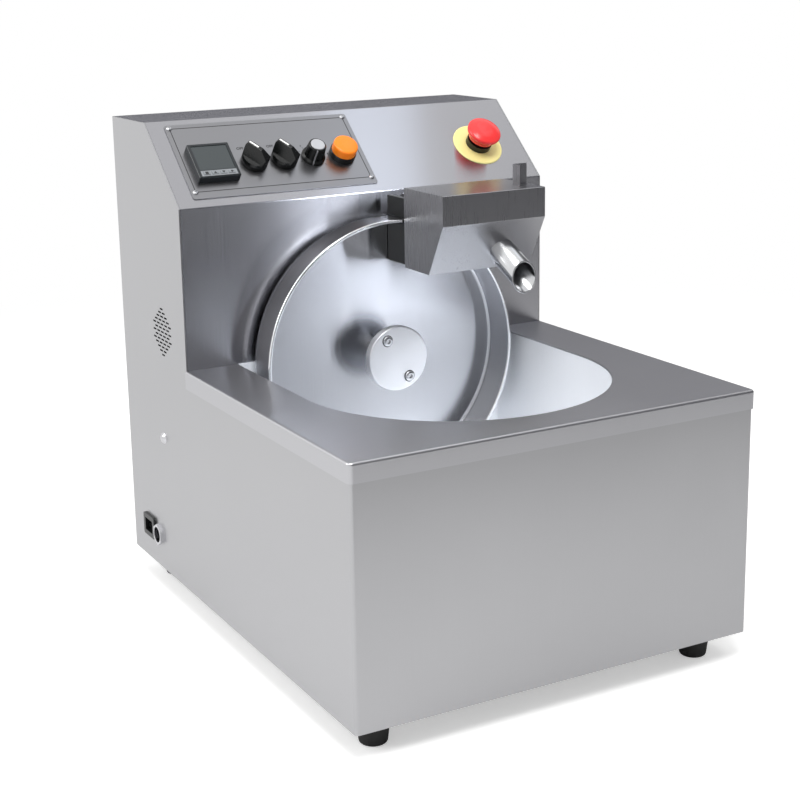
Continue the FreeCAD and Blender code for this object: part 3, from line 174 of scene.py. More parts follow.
# Reflection cards: plain boards round the set that only the steel sees. Grey ones give the front and
# the right side a dim room to mirror, and the deck a grey rear wall. A bright one hangs overhead.
def card(name, corners, shade, strength=1.0):
    """A board of plain brightness, seen in reflections alone."""
    mesh = bpy.data.meshes.new(name)
    mesh.from_pydata(corners, [], [(0, 1, 2, 3)])
    material, tree = new_material(name)
    finish_material(tree, add(tree, "ShaderNodeEmission", {"Color": linear(shade),
                                                           "Strength": strength}))
    mesh.materials.append(material)
    board = bpy.data.objects.new(name, mesh)
    bpy.context.scene.collection.objects.link(board)
    board.visible_camera = False
    board.visible_diffuse = False
    board.visible_shadow = False
    board.visible_transmission = False


def flat_board(height, *plan):
    """Corners of a level board over the (x, y) points of its plan."""
    return [(x, y, height) for x, y in plan]


def upright_board(start, end, height):
    """Corners of a board that stands on the floor from one (x, y) point to another."""
    return [(*start, 0), (*end, 0), (*end, height), (*start, height)]


room_grey = "#707074"
card_height = 2 * mm
ceiling_height = 3.0
card("front_floor_card",
     flat_board(card_height, (-2.2, -5.5), (7.0, -5.5), (7.0, -1.15), (-0.2, -1.15)), "#6E6E70")
card("front_room_card", upright_board((-3.0, -5.6), (9.0, -5.6), 8.5), room_grey)
card("right_floor_card",
     flat_board(card_height, (1.3, -1.3), (6.5, -1.3), (6.5, 2.6), (1.3, 2.6)), room_grey)
card("right_room_card", upright_board((6.5, -5.6), (6.5, 1.2), 9.0), room_grey)
card("rear_card", upright_board((0.4, 2.6), (7.0, 2.6), 2.4), "#7C7C82")
card("ceiling_card",
     flat_board(ceiling_height, (1.22, -1.1), (1.52, -1.1), (1.52, 0.6), (1.22, 0.6)), "#F0F6FF", 1.8)


# Lamps: soft boxes in front, behind on the left, and overhead, where the steel doesn't mirror it. Two
# more light one piece each: a narrow strip that draws the highlight down the head wall, and a soft box
# into the bowl. The wheel's own strip comes with the wheel.
def soft_light(name, place, target, width, height, power, tint="#FFFFFF", mirrored=True, lean=0,
               only=None):
    """A rectangular lamp at place that faces target, leaning by an angle in degrees. Steel doesn't show
    one that isn't mirrored, and one that is for an only object lights nothing else."""
    data = bpy.data.lights.new(name, "AREA")
    data.shape = "RECTANGLE"
    data.size = width
    data.size_y = height
    data.energy = power
    data.color = linear(tint)[:3]
    lamp = bpy.data.objects.new(name, data)
    direction = Vector(target) - Vector(place)
    lamp.matrix_world = (Matrix.Translation(Vector(place))
                         @ direction.to_track_quat("-Z", "Y").to_matrix().to_4x4()
                         @ Matrix.Rotation(math.radians(lean), 4, "Z"))
    lamp.visible_glossy = mirrored
    if only:
        lit = bpy.data.collections.new(name + "_lit")
        lit.objects.link(only)
        lamp.light_linking.receiver_collection = lit
    bpy.context.scene.collection.objects.link(lamp)


strip_tint = "#EEF4FF"
soft_light("wall_light", (1.33, -2.4, 1.45), (0, 0.1, 0.42), 0.13, 1.1, 20, strip_tint, lean=-20,
           only=nodes["head_cover"])
soft_light("front_light", (-0.5, -1.15, 2.3), (0.05, -0.1, 0.3), 0.9, 0.9, 27)
soft_light("bowl_light", (-0.35, -0.5, 1.2), (0.12, -0.12, 0.15), 0.5, 0.5, 10, "#EEF6FF",
           only=nodes["bowl"])
soft_light("top_light", (0.3, -0.3, 2.6), (0, 0, 0.3), 2.4, 2.0, 15, mirrored=False)
soft_light("left_light", (-2.4, 0.7, 1.8), (-0.4, 0.2, 0), 1.6, 1.6, 34)


# Casing: folded stainless sheet, ground with a fine belt. It reflects softly, and its highlights are
# drawn out one way. The grain is drawn coarser than its real 0.1 mm, so that it shows.
def dress(material, *names):
    """Give CAD nodes a material."""
    for name in names:
        data = nodes[name].data
        data.materials.clear()
        data.materials.append(material)


grain_spacing = 0.8 * mm
grain_length = 60 * mm
grain_depth = 0.4 * mm
grain_shade = 0.96
cloud_scale = 6.0


def brushed_steel(name, colour, roughness, grain, streak, anisotropy=0.5, contrast=0.02, height=0.015):
    """grain is the axis along the brush marks, streak the direction in which highlights spread.
    contrast is how far the marks change the roughness, height how strongly they stand out."""
    material, tree = new_material(name)
    place = add(tree, "ShaderNodeTexCoord")
    scale = [1 / grain_spacing] * 3
    scale["XYZ".index(grain)] = 1 / grain_length
    drawn = add(tree, "ShaderNodeMapping", {"Vector": place.outputs["Object"], "Scale": scale})
    marks = add(tree, "ShaderNodeTexNoise", {"Vector": drawn.outputs[0], "Scale": 1.0, "Detail": 3.0,
                                             "Roughness": 0.6})
    cloud = add(tree, "ShaderNodeTexNoise", {"Vector": place.outputs["Object"], "Scale": cloud_scale,
                                             "Detail": 2.0})
    rough = add(tree, "ShaderNodeMapRange", {
        "Value": marks.outputs[0], "From Min": 0.3, "From Max": 0.7,
        "To Min": roughness - contrast, "To Max": roughness + contrast})
    wear = add(tree, "ShaderNodeMapRange", {"Value": cloud.outputs[0], "From Min": 0.35,
                                            "From Max": 0.65, "To Min": -0.01, "To Max": 0.015})
    total = add(tree, "ShaderNodeMath", {0: rough.outputs[0], 1: wear.outputs[0]}, operation="ADD")
    dark = [grain_shade * c for c in linear(colour)[:3]] + [1.0]
    tone = add(tree, "ShaderNodeMix", {0: marks.outputs[0], 6: dark, 7: linear(colour)},
               data_type="RGBA")
    bump = add(tree, "ShaderNodeBump", {"Height": marks.outputs[0], "Strength": height,
                                        "Distance": grain_depth})
    along = add(tree, "ShaderNodeCombineXYZ", {"X": streak[0], "Y": streak[1], "Z": streak[2]})
    steel = add(tree, "ShaderNodeBsdfPrincipled", {
        "Base Color": tone.outputs[2], "Metallic": 1.0, "Roughness": total.outputs[0],
        "Anisotropic": anisotropy, "Tangent": along.outputs[0], "Normal": bump.outputs[0]})
    finish_material(tree, steel)
    return material


casing_steel = brushed_steel("belt_ground_stainless_casing", "#B8B8BA", 0.32, "Z", (0, 0, 1), 0.3)
wall_steel = brushed_steel("belt_ground_stainless_wall", "#B4B4B8", 0.2, "Z", (0, 0, 1), 1.0)
deck_steel = brushed_steel("belt_ground_stainless_deck", "#C2C2C5", 0.34, "X", (0, 1, 0), 0.3)
dress(casing_steel, "body_wrap", "rear_cover", "base_plate")
dress(wall_steel, "head_cover")
dress(deck_steel, "deck")
bright_steel = brushed_steel("turned_bright_steel", "#CFCFD2", 0.2, "X", (0, 0, 1), 0.0)
dress(bright_steel, "foot_screws", "drive_shaft", "front_bearing", "rear_bearing", "hopper_pins",
      "motor_bracket", "temperature_probe", "accessory_socket")
cast_alloy = brushed_steel("tumbled_aluminium_housing", "#B9B9BA", 0.45, "X", (0, 0, 1), 0.0)
dress(cast_alloy, "bearing_housing", "gearbox")


# Bowl: deep-drawn stainless pan. It scatters the light widely, so that it is bright all over.
bowl_steel = brushed_steel("polished_stainless_bowl", "#F8F9FB", 0.72, "Z", (0, 0, 1), 0.2, 0.01, 0.006)
dress(bowl_steel, "bowl")


# Moulded parts: ABS and rubber with a fine spark-eroded grain that breaks up the gloss. Enamel, the
# heater's silicone and the board's lacquer take the same recipe.
pore_depth = 0.3 * mm
gloss_spread = 0.06


def moulded(name, colour, roughness, grain=0.7 * mm, height=0.08):
    """Plastic, rubber or paint with small pores, spaced by the grain and as strong as the height."""
    material, tree = new_material(name)
    place = add(tree, "ShaderNodeTexCoord")
    pores = add(tree, "ShaderNodeTexNoise", {"Vector": place.outputs["Object"], "Scale": 1 / grain,
                                             "Detail": 2.0})
    bump = add(tree, "ShaderNodeBump", {"Height": pores.outputs[0], "Strength": height,
                                        "Distance": pore_depth})
    rough = add(tree, "ShaderNodeMapRange", {
        "Value": pores.outputs[0], "To Min": roughness - gloss_spread,
        "To Max": roughness + gloss_spread})
    shader = add(tree, "ShaderNodeBsdfPrincipled", {
        "Base Color": linear(colour), "Roughness": rough.outputs[0], "Normal": bump.outputs[0]})
    finish_material(tree, shader)
    return material


rubber = moulded("moulded_black_rubber", "#1A1A1A", 0.7)
black_abs = moulded("moulded_black_abs", "#151717", 0.32)
dress(rubber, "shaft_seal")
dress(black_abs, "left_switch", "right_switch", "speed_dial", "stop_switch", "stop_stem",
      "scraper_blade", "fan_frame", "fan_rotor", "reset_switch", "power_inlet")
dress(moulded("motor_enamel", "#3A3C3F", 0.4), "motor")
dress(moulded("red_silicone_mat", "#A04028", 0.6), "heater_mat")
dress(moulded("green_board_lacquer", "#2C6A40", 0.4), "control_board")


# Feet: tapered rubber mouldings with a soft lower edge, each sunk for the screw that holds it.
def softened(points, radius, steps=5):
    """A profile with its corners rounded; a point may carry its own radius as a third value."""
    path = [Vector(points[0][:2])]
    for before, corner, after in zip(points, points[1:], points[2:]):
        here = Vector(corner[:2])
        to_before = Vector(before[:2]) - here
        to_after = Vector(after[:2]) - here
        size = corner[2] if len(corner) > 2 else radius
        size = min(size, 0.49 * to_before.length, 0.49 * to_after.length)
        start = here + to_before.normalized() * size
        end = here + to_after.normalized() * size
        for i in range(steps + 1):
            t = i / steps
            path.append((1 - t) ** 2 * start + 2 * t * (1 - t) * here + t ** 2 * end)
    path.append(Vector(points[-1][:2]))
    return path


def finished(name, mesh, material, sharp=40):
    """Merge doubles, turn the faces outwards, smooth the shading below an angle and add the object."""
    shape = bmesh.new()
    shape.from_mesh(mesh)
    bmesh.ops.remove_doubles(shape, verts=shape.verts, dist=1e-6)
    bmesh.ops.dissolve_degenerate(shape, edges=shape.edges, dist=1e-7)
    bmesh.ops.recalc_face_normals(shape, faces=shape.faces)
    shape.to_mesh(mesh)
    shape.free()
    mesh.shade_smooth()
    mesh.set_sharp_from_angle(angle=math.radians(sharp))
    mesh.materials.clear()
    mesh.materials.append(material)
    piece = bpy.data.objects.new(name, mesh)
    bpy.context.scene.collection.objects.link(piece)
    return piece


def skinned(name, loops, material, sharp=40, ring=False):
    """A closed skin over loops of points. A ring joins the last to the first, the rest have ends."""
    count = len(loops[0])
    faces = []
    rows = len(loops) if ring else len(loops) - 1
    for k in range(rows):
        here = k * count
        there = (k + 1) % len(loops) * count
        for i in range(count):
            j = (i + 1) % count
            faces.append((here + i, here + j, there + j, there + i))
    if not ring:
        faces.append(tuple(range(count)))
        faces.append(tuple(range((len(loops) - 1) * count, len(loops) * count)))
    mesh = bpy.data.meshes.new(name)
    mesh.from_pydata([point for loop in loops for point in loop], [], faces)
    return finished(name, mesh, material, sharp)


def lathed(name, profile, place, material, steps=96, sharp=40):
    """A piece turned about its own z axis from a closed line of (radius, height) points."""
    loops = []
    for k in range(steps):
        angle = 2 * math.pi * k / steps
        loops.append([place @ Vector((radius * math.cos(angle), radius * math.sin(angle), height))
                      for radius, height in profile])
    return skinned(name, loops, material, sharp, ring=True)


def fix(piece, body, slot, *replaced):
    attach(piece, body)
    if replaced:
        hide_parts(*replaced)


foot_bore = 3.2 * mm
foot_seat_radius = 6 * mm
foot_seat_share = 0.4
foot_taper = 0.8
foot_edge = 3 * mm
foot_shoulder = 2 * mm
for corner in ("front_left", "front_right", "rear_left", "rear_right"):
    low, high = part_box("foot_" + corner)
    top_radius = (high.x - low.x) / 2
    seat = foot_seat_share * high.z
    profile = softened([(foot_bore, high.z), (foot_bore, seat, 0), (foot_seat_radius, seat, 0),
                        (foot_seat_radius, 0, 0.5 * mm), (foot_taper * top_radius, 0, foot_edge),
                        (top_radius, high.z - foot_shoulder, foot_shoulder), (top_radius, high.z)], 0)
    middle = Matrix.Translation(((low.x + high.x) / 2, (low.y + high.y) / 2, 0))
    fix(lathed("rubber_foot_" + corner, profile, middle, rubber, 64), "casing", "black_rubber",
        "foot_" + corner)


# Wheel: an open-fronted dish of spun stainless with a wide rim. It is polished upright, as the head
# wall is, so a highlight runs down its web. Its rolled front edge carries a painted highlight in near
# white, and its rim's outside carries painted shade in dark grey.
def facing_user(x, y, z):
    """A place whose own z axis points at the user, out of the machine's front."""
    return Matrix.Translation((x, y, z)) @ Matrix.Rotation(math.radians(90), 4, "X")


spun_contrast = 0.008


def spun_steel(name, colour, roughness, anisotropy, centre):
    """Steel polished on a spindle: the marks run round the wheel's axis, and highlights fan out."""
    material, tree = new_material(name)
    place = add(tree, "ShaderNodeTexCoord")
    offset = add(tree, "ShaderNodeVectorMath", {0: place.outputs["Object"], 1: centre},
                 operation="SUBTRACT")
    outward = add(tree, "ShaderNodeVectorMath", {0: offset.outputs[0], 1: (1, 0, 1)},
                  operation="MULTIPLY")
    radius = add(tree, "ShaderNodeVectorMath", {0: outward.outputs[0]}, operation="LENGTH")
    across = add(tree, "ShaderNodeVectorMath", {0: outward.outputs[0], 1: (0, 0.1, 0)},
                 operation="ADD")
    marks = add(tree, "ShaderNodeTexNoise", {"W": radius.outputs["Value"], "Scale": 1 / grain_spacing,
                                             "Detail": 2.0}, noise_dimensions="1D")
    rough = add(tree, "ShaderNodeMapRange", {
        "Value": marks.outputs[0], "From Min": 0.3, "From Max": 0.7,
        "To Min": roughness - spun_contrast, "To Max": roughness + spun_contrast})
    steel = add(tree, "ShaderNodeBsdfPrincipled", {
        "Base Color": linear(colour), "Metallic": 1.0, "Roughness": rough.outputs[0],
        "Anisotropic": anisotropy, "Tangent": across.outputs[0]})
    finish_material(tree, steel)
    return material


wheel_wall = 4 * mm
web = 3 * mm
hub_bore = 13.05 * mm
outer_corner = 9 * mm
inner_corner = 5 * mm
edge_round = 0.48 * wheel_wall
edge_depth = 0.6 * wheel_wall
axle = Vector(joints["wheel_spin"]["pos_m"])
low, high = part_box("wheel")
wheel_radius = (high.x - low.x) / 2
wheel_depth = high.y - low.y
wheel_back = facing_user(axle.x, high.y, axle.z)
hub_steel = spun_steel("spun_polished_stainless", "#C8C9CC", 0.24, 0.8, axle)
rim_inside = wheel_radius - wheel_wall
profile = softened([(hub_bore, web), (hub_bore, 0, 0), (wheel_radius, 0, outer_corner),
                    (wheel_radius, wheel_depth, edge_round), (rim_inside, wheel_depth, edge_round),
                    (rim_inside, web, inner_corner), (hub_bore, web)], 0, 8)[:-1]
web_steel = brushed_steel("polished_stainless_web", "#BCBDC1", 0.18, "Z", (0, 0, 1), 1.0)
wheel = lathed("dish_wheel", profile, wheel_back, web_steel, 240)
# The near-white front edge is a painted highlight, and the dark grey rim outside is painted shade.
highlight_edge_steel = brushed_steel("painted_highlight_stainless_edge", "#F2F3F5", 0.2, "X", (0, 0, 1), 0.0)
shaded_rim_steel = brushed_steel("painted_shade_stainless_rim", "#8E8E92", 0.36, "Y", (0, 1, 0), 0.0)
wheel.data.materials.append(highlight_edge_steel)
wheel.data.materials.append(shaded_rim_steel)
for polygon in wheel.data.polygons:
    middle = polygon.center
    reach = math.hypot(middle.x - axle.x, middle.z - axle.z)
    if middle.y < low.y + edge_depth:
        polygon.material_index = wheel.data.materials.find(highlight_edge_steel.name)
    elif reach > wheel_radius - wheel_wall / 2 and middle.y < high.y - outer_corner:
        polygon.material_index = wheel.data.materials.find(shaded_rim_steel.name)
fix(wheel, "wheel_set", "polished_steel", "wheel")
soft_light("wheel_light", (1.29, -2.4, 0.45), (0, 0.1, 0.3), 0.12, 0.85, 3.2, strip_tint, lean=4,
           only=wheel)


# Hub: a turned tube with a flange that carries the cap, and the cap over the shaft's end with its two
# button-head screws. Each screw sits in a dark ring, painted shadow in place of a countersink's gap.
hub_flange_radius = 32 * mm
hub_tube_radius = 13 * mm
hub_flange = 6 * mm
hub_back_flange = 4 * mm
shaft_bore = 8.05 * mm
cap_radius = 36 * mm
cap_thickness = 10 * mm
cap_stand_out = 8 * mm
cap_screw_circle = 25 * mm
cap_screw_angle = 122
cap_screw_head = 5.6 * mm
hub_length = wheel_depth + cap_stand_out - cap_thickness
hub_neck = hub_length - hub_flange
flange_edge = 0.6 * mm
tube_corner = 1.5 * mm
profile = softened([(shaft_bore, hub_length), (shaft_bore, -hub_back_flange, 0),
                    (hub_flange_radius, -hub_back_flange, flange_edge),
                    (hub_flange_radius, 0, flange_edge), (hub_tube_radius, 0, tube_corner),
                    (hub_tube_radius, hub_neck, tube_corner),
                    (hub_flange_radius, hub_neck, flange_edge),
                    (hub_flange_radius, hub_length, flange_edge), (shaft_bore, hub_length)], 0)[:-1]
fix(lathed("turned_hub", profile, wheel_back, hub_steel, 96), "wheel_set", "polished_steel",
    "wheel_hub")

cap_steel = spun_steel("faced_stainless_cap", "#F0F1F4", 0.42, 0.3, axle)
cap_back = wheel_back @ Matrix.Translation((0, 0, hub_length))
centre_radius = 0.05 * mm
profile = softened([(centre_radius, 0), (cap_radius, 0, 0.8 * mm),
                    (cap_radius, cap_thickness, 1.6 * mm), (centre_radius, cap_thickness)], 0)
fix(lathed("hub_cover", profile, cap_back, cap_steel, 128), "wheel_set", "polished_steel", "hub_cap")


def hexagon_loop(radius, count):
    """Points evenly round a hexagon whose corners reach the radius."""
    side = count // 6
    corners = [Vector((math.cos(math.radians(60 * k)), math.sin(math.radians(60 * k)))) * radius
               for k in range(7)]
    return [corners[i // side].lerp(corners[i // side + 1], i % side / side) for i in range(count)]


def circle_loop(radius, count, first=0):
    """Points evenly round a circle, the first one so many steps round from its own x axis."""
    angles = [2 * math.pi * (i + first) / count for i in range(count)]
    return [Vector((radius * math.cos(angle), radius * math.sin(angle))) for angle in angles]


screw_sides = 48
screw_shank = 3 * mm
screw_sunk = 12 * mm
screw_socket = 0.46 * cap_screw_head
head_steps = [(screw_shank, -screw_sunk), (screw_shank, 0), (cap_screw_head, 0),
              (cap_screw_head, 1.2 * mm), (0.9 * cap_screw_head, 2.2 * mm),
              (0.66 * cap_screw_head, 2.9 * mm), (0.54 * cap_screw_head, 3 * mm)]
socket_steps = [(screw_socket, 2.9 * mm), (screw_socket, 0.8 * mm)]
socket_steel = brushed_steel("zinc_plated_screw", "#D2D3D6", 0.24, "X", (0, 0, 1), 0.0)
screw_out = math.radians(cap_screw_angle)
screw_seats = []
for side in (-1, 1):
    reach = side * cap_screw_circle
    seat = Vector((reach * math.cos(screw_out), reach * math.sin(screw_out), cap_thickness))
    screw_seats.append(cap_back @ Matrix.Translation(seat))

screw_heads = []
for seat in screw_seats:
    levels = ([(circle_loop(radius, screw_sides), height) for radius, height in head_steps]
              + [(hexagon_loop(radius, screw_sides), height) for radius, height in socket_steps])
    loops = [[seat @ Vector((point.x, point.y, height)) for point in loop] for loop, height in levels]
    screw_heads.append(skinned("cap_screw", loops, socket_steel, 30))
bpy.ops.object.select_all(action="DESELECT")
for piece in screw_heads:
    piece.select_set(True)
bpy.context.view_layer.objects.active = screw_heads[0]
bpy.ops.object.join()
cap_screws = bpy.context.object
cap_screws.name = "cap_button_screws"
fix(cap_screws, "wheel_set", "bright_steel", "hub_cap_screws")

# The dark rings are painted shadow, standing in for the gap round each screw head.
painted_shadow_ring = moulded("painted_shadow_countersink", "#2A2A2C", 0.5)
ring_inside = cap_screw_head - 0.3 * mm
ring_outside = cap_screw_head + 0.9 * mm
ring_low = -0.2 * mm
ring_high = 0.05 * mm
profile = [(ring_inside, ring_low), (ring_outside, ring_low), (ring_outside, ring_high),
           (ring_inside, ring_high)]
for number, seat in enumerate(screw_seats, start=1):
    ring = lathed("screw_shadow_ring_%d" % number, profile, seat, painted_shadow_ring, screw_sides)
    fix(ring, "wheel_set", "black_plastic")


# Hopper: the scraper box of folded stainless, with a polished tube for a spout welded through its
# sloping front. The tube's mouth is cut off upright.
hopper_steel = brushed_steel("folded_stainless_hopper", "#A9A9AC", 0.28, "Z", (0, 0, 1), 0.0)
dress(hopper_steel, "hopper")

spout_radius = 15 * mm
spout_wall = 1.5 * mm
spout_across = 85 * mm
spout_drop = 68 * mm
spout_reach = 37.5 * mm
spout_slope = Vector((0.1, -1, -0.62))
spout_inside = 5 * mm
spout_sides = 96
low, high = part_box("hopper")
grip_height = 22 * mm
mouth_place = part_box("spout_tube")[0].y
spout_start = Vector((low.x + spout_across, mouth_place + spout_reach,
                      high.z - grip_height - spout_drop))
spout_along = spout_slope.normalized()
spout_level = Vector((1, 0, 0)).cross(spout_along).normalized()
spout_side = spout_along.cross(spout_level)


def spout_loop(radius, at_mouth):
    """Points round the spout, where it is cut off in front or inside the hopper."""
    points = []
    for i in range(spout_sides):
        angle = 2 * math.pi * i / spout_sides
        point = spout_start + radius * (math.cos(angle) * spout_side + math.sin(angle) * spout_level)
        travel = (point.y - mouth_place) / -spout_along.y if at_mouth else -spout_inside
        points.append(point + spout_along * travel)
    return points


spout_steel = brushed_steel("polished_stainless_tube", "#D4D5D7", 0.22, "Y", (0, 1, 0), 0.3)
lip_edge = 0.25 * mm
lip_inset = 0.2
mouth_back = spout_along * lip_edge
outer_mouth = spout_loop(spout_radius, True)
inner_mouth = spout_loop(spout_radius - spout_wall, True)
lip = [outer.lerp(inner, lip_inset) for outer, inner in zip(outer_mouth, inner_mouth)]
inner_lip = [outer.lerp(inner, 1 - lip_inset) for outer, inner in zip(outer_mouth, inner_mouth)]
loops = [spout_loop(spout_radius, False), [point - mouth_back for point in outer_mouth], lip, inner_lip,
         [point - mouth_back for point in inner_mouth], spout_loop(spout_radius - spout_wall, False)]
fix(skinned("spout", loops, spout_steel, 50, ring=True), "hopper_set", "polished_steel", "spout_tube")


# Control panel: the places on it are taken in its own frame, across, up the slope and out of it.
panel_out = Vector(joints["left_selector_turn"]["axis"])
panel_across = Vector((1, 0, 0))
panel_up = panel_out.cross(panel_across)
panel_turn = Matrix((panel_across, panel_up, panel_out)).transposed().to_4x4()
panel = Matrix.Translation(Vector(joints["left_selector_turn"]["pos_m"])) @ panel_turn
from_panel = panel.inverted()


def on_panel(node):
    """Lowest and highest corner of a CAD node in the panel's own frame."""
    points = [from_panel @ vertex.co for vertex in nodes[node].data.vertices]
    return (Vector([min(point[i] for point in points) for i in range(3)]),
            Vector([max(point[i] for point in points) for i in range(3)]))


def joint_on_panel(name):
    """The panel's frame, moved to a joint on it."""
    return Matrix.Translation(Vector(joints[name]["pos_m"])) @ panel_turn


panel_steel = brushed_steel("belt_ground_stainless_plate", "#98989B", 0.3, "X", (0, 1, 1), 0.3)
dress(panel_steel, "control_plate")
plate_low, plate_high = on_panel("control_plate")
face = plate_high.z


def slab(name, low, high, place, material, edge=0.0, sharp=40):
    """A block between two corners in a place's own frame, with its upper edges bevelled."""
    steps = [(low.x, low.y, high.x, high.y, low.z), (low.x, low.y, high.x, high.y, high.z - edge),
             (low.x + edge, low.y + edge, high.x - edge, high.y - edge, high.z)]
    loops = [[place @ Vector(point) for point in ((x0, y0, z), (x1, y0, z), (x1, y1, z), (x0, y1, z))]
             for x0, y0, x1, y1, z in steps]
    return skinned(name, loops, material, sharp)


# Engraved border and printing on the plate, filled with black enamel: a line from screw to screw,
# generic OFF and ON captions by the selectors, and a scale round the speed knob.
ink = moulded("black_enamel_fill", "#1E1E20", 0.5)
screw_inset = 5 * mm
screw_low_inset = 9 * mm
border_width = 0.9 * mm
ink_height = 0.04 * mm
ink_root = 0.3 * mm
border_low = Vector((plate_low.x + screw_inset, plate_low.y + screw_low_inset))
border_high = Vector((plate_high.x - screw_inset, plate_high.y - screw_inset))


def rectangle(low, high, inset, height):
    """Corner points of a rectangle on the panel."""
    x0, y0, x1, y1 = low.x + inset, low.y + inset, high.x - inset, high.y - inset
    return [panel @ Vector((x, y, height)) for x, y in ((x0, y0), (x1, y0), (x1, y1), (x0, y1))]


border_steps = [(0, -ink_root), (0, ink_height), (border_width, ink_height), (border_width, -ink_root)]
loops = [rectangle(border_low, border_high, inset, face + height) for inset, height in border_steps]
fix(skinned("engraved_border", loops, ink, 30, ring=True), "casing", "black_plastic")


def caption(name, words, middle, height, place):
    """Printed words, centred on a point of the panel, as a mesh a hair above the plate."""
    data = bpy.data.curves.new(name, "FONT")
    data.body = words
    data.size = height
    data.align_x = "CENTER"
    data.align_y = "CENTER"
    data.extrude = ink_height
    data.offset = 0.02 * height
    data.resolution_u = 3
    carrier = bpy.data.objects.new(name, data)
    bpy.context.scene.collection.objects.link(carrier)
    bpy.context.view_layer.update()
    mesh = bpy.data.meshes.new_from_object(carrier.evaluated_get(bpy.context.evaluated_depsgraph_get()))
    bpy.data.objects.remove(carrier)
    mesh.transform(place @ Matrix.Translation((middle[0], middle[1], face + ink_height)))
    mesh.materials.clear()
    mesh.materials.append(ink)
    piece = bpy.data.objects.new(name, mesh)
    bpy.context.scene.collection.objects.link(piece)
    fix(piece, "casing", "black_plastic")


letter_height = 4.8 * mm
caption_up = 20.5 * mm
caption_side = 9.5 * mm
off_middle = (-caption_side, caption_up)
on_middle = (caption_side - 2 * mm, caption_up + 1 * mm)
for side in ("left", "right"):
    place = joint_on_panel(side + "_selector_turn")
    caption(side + "_off", "OFF", off_middle, letter_height, place)
    caption(side + "_on", "ON", on_middle, letter_height, place)


def made_by_nodes(name, mesh, tree, values, place, material):
    """Run a mesh through a node tree, with the tree's inputs set by name, and keep the result."""
    piece = bpy.data.objects.new(name, mesh)
    bpy.context.scene.collection.objects.link(piece)
    modifier = piece.modifiers.new(name, "NODES")
    modifier.node_group = tree
    for item in tree.interface.items_tree:
        if item.item_type == "SOCKET" and item.in_out == "INPUT" and item.name in values:
            modifier[item.identifier] = values[item.name]
    bpy.context.view_layer.update()
    result = bpy.data.meshes.new_from_object(piece.evaluated_get(bpy.context.evaluated_depsgraph_get()))
    piece.modifiers.clear()
    result.transform(place)
    result.materials.clear()
    result.materials.append(material)
    piece.data = result
    return piece


def node_tree(name, inputs):
    """A geometry tree with named inputs, its input node and a function that closes it."""
    tree = bpy.data.node_groups.new(name, "GeometryNodeTree")
    tree.interface.new_socket(name="Geometry", in_out="INPUT", socket_type="NodeSocketGeometry")
    for label, kind in inputs:
        tree.interface.new_socket(name=label, in_out="INPUT", socket_type=kind)
    tree.interface.new_socket(name="Geometry", in_out="OUTPUT", socket_type="NodeSocketGeometry")
    return tree, add(tree, "NodeGroupInput")


def close_tree(tree, instances, material):
    """End a tree in real geometry that carries its material."""
    real = add(tree, "GeometryNodeRealizeInstances", {"Geometry": instances})
    painted = add(tree, "GeometryNodeSetMaterial", {"Geometry": real.outputs[0], "Material": material})
    add(tree, "NodeGroupOutput", {"Geometry": painted.outputs[0]})


tick_tree, given = node_tree("scale_ticks", [
    ("Radius", "NodeSocketFloat"), ("Count", "NodeSocketInt"), ("Start", "NodeSocketFloat"),
    ("Sweep", "NodeSocketFloat")])
arc = add(tick_tree, "GeometryNodeCurveArc", {"Resolution": given.outputs["Count"],
                                              "Radius": given.outputs["Radius"],
                                              "Start Angle": given.outputs["Start"],
                                              "Sweep Angle": given.outputs["Sweep"]})
spots = add(tick_tree, "GeometryNodeCurveToPoints", {"Curve": arc.outputs[0],
                                                     "Count": given.outputs["Count"]})
where = add(tick_tree, "GeometryNodeInputPosition")
split = add(tick_tree, "ShaderNodeSeparateXYZ", {0: where.outputs[0]})
heading = add(tick_tree, "ShaderNodeMath", {0: split.outputs[1], 1: split.outputs[0]},
              operation="ARCTAN2")
facing = add(tick_tree, "ShaderNodeCombineXYZ", {"Z": heading.outputs[0]})
ticks = add(tick_tree, "GeometryNodeInstanceOnPoints", {
    "Points": spots.outputs[0], "Instance": given.outputs["Geometry"], "Rotation": facing.outputs[0]})
close_tree(tick_tree, ticks.outputs[0], ink)

tick_count = 11
tick_length = 1.8 * mm
tick_width = 0.5 * mm
scale_radius = 16.2 * mm
dial_place = joint_on_panel("speed_turn")
scale_start = math.radians(-45)
scale_sweep = math.radians(270)
tick = slab("tick", Vector((-tick_length / 2, -tick_width / 2, 0)),
            Vector((tick_length / 2, tick_width / 2, 2 * ink_height)), Matrix.Identity(4), ink)
tick_mesh = tick.data
bpy.data.objects.remove(tick)
ticks = made_by_nodes("speed_scale", tick_mesh, tick_tree,
                      {"Radius": scale_radius, "Count": tick_count, "Start": scale_start,
                       "Sweep": scale_sweep}, dial_place @ Matrix.Translation((0, 0, face)), ink)
fix(ticks, "casing", "black_plastic")
number_radius = 19.6 * mm
number_height = 3.4 * mm
scale_end = 10
for number in (2, 4, 6, 8):
    angle = scale_start + scale_sweep * (1 - number / scale_end)
    middle = (number_radius * math.cos(angle), number_radius * math.sin(angle))
    caption("speed_number_%d" % number, str(number), middle, number_height, dial_place)


# Screws that repeat on a grid: four cross-head screws in the control plate and six in the rear cover.
# The shift lines the dome's points up with the corners of the cross.
dome_shift = 3


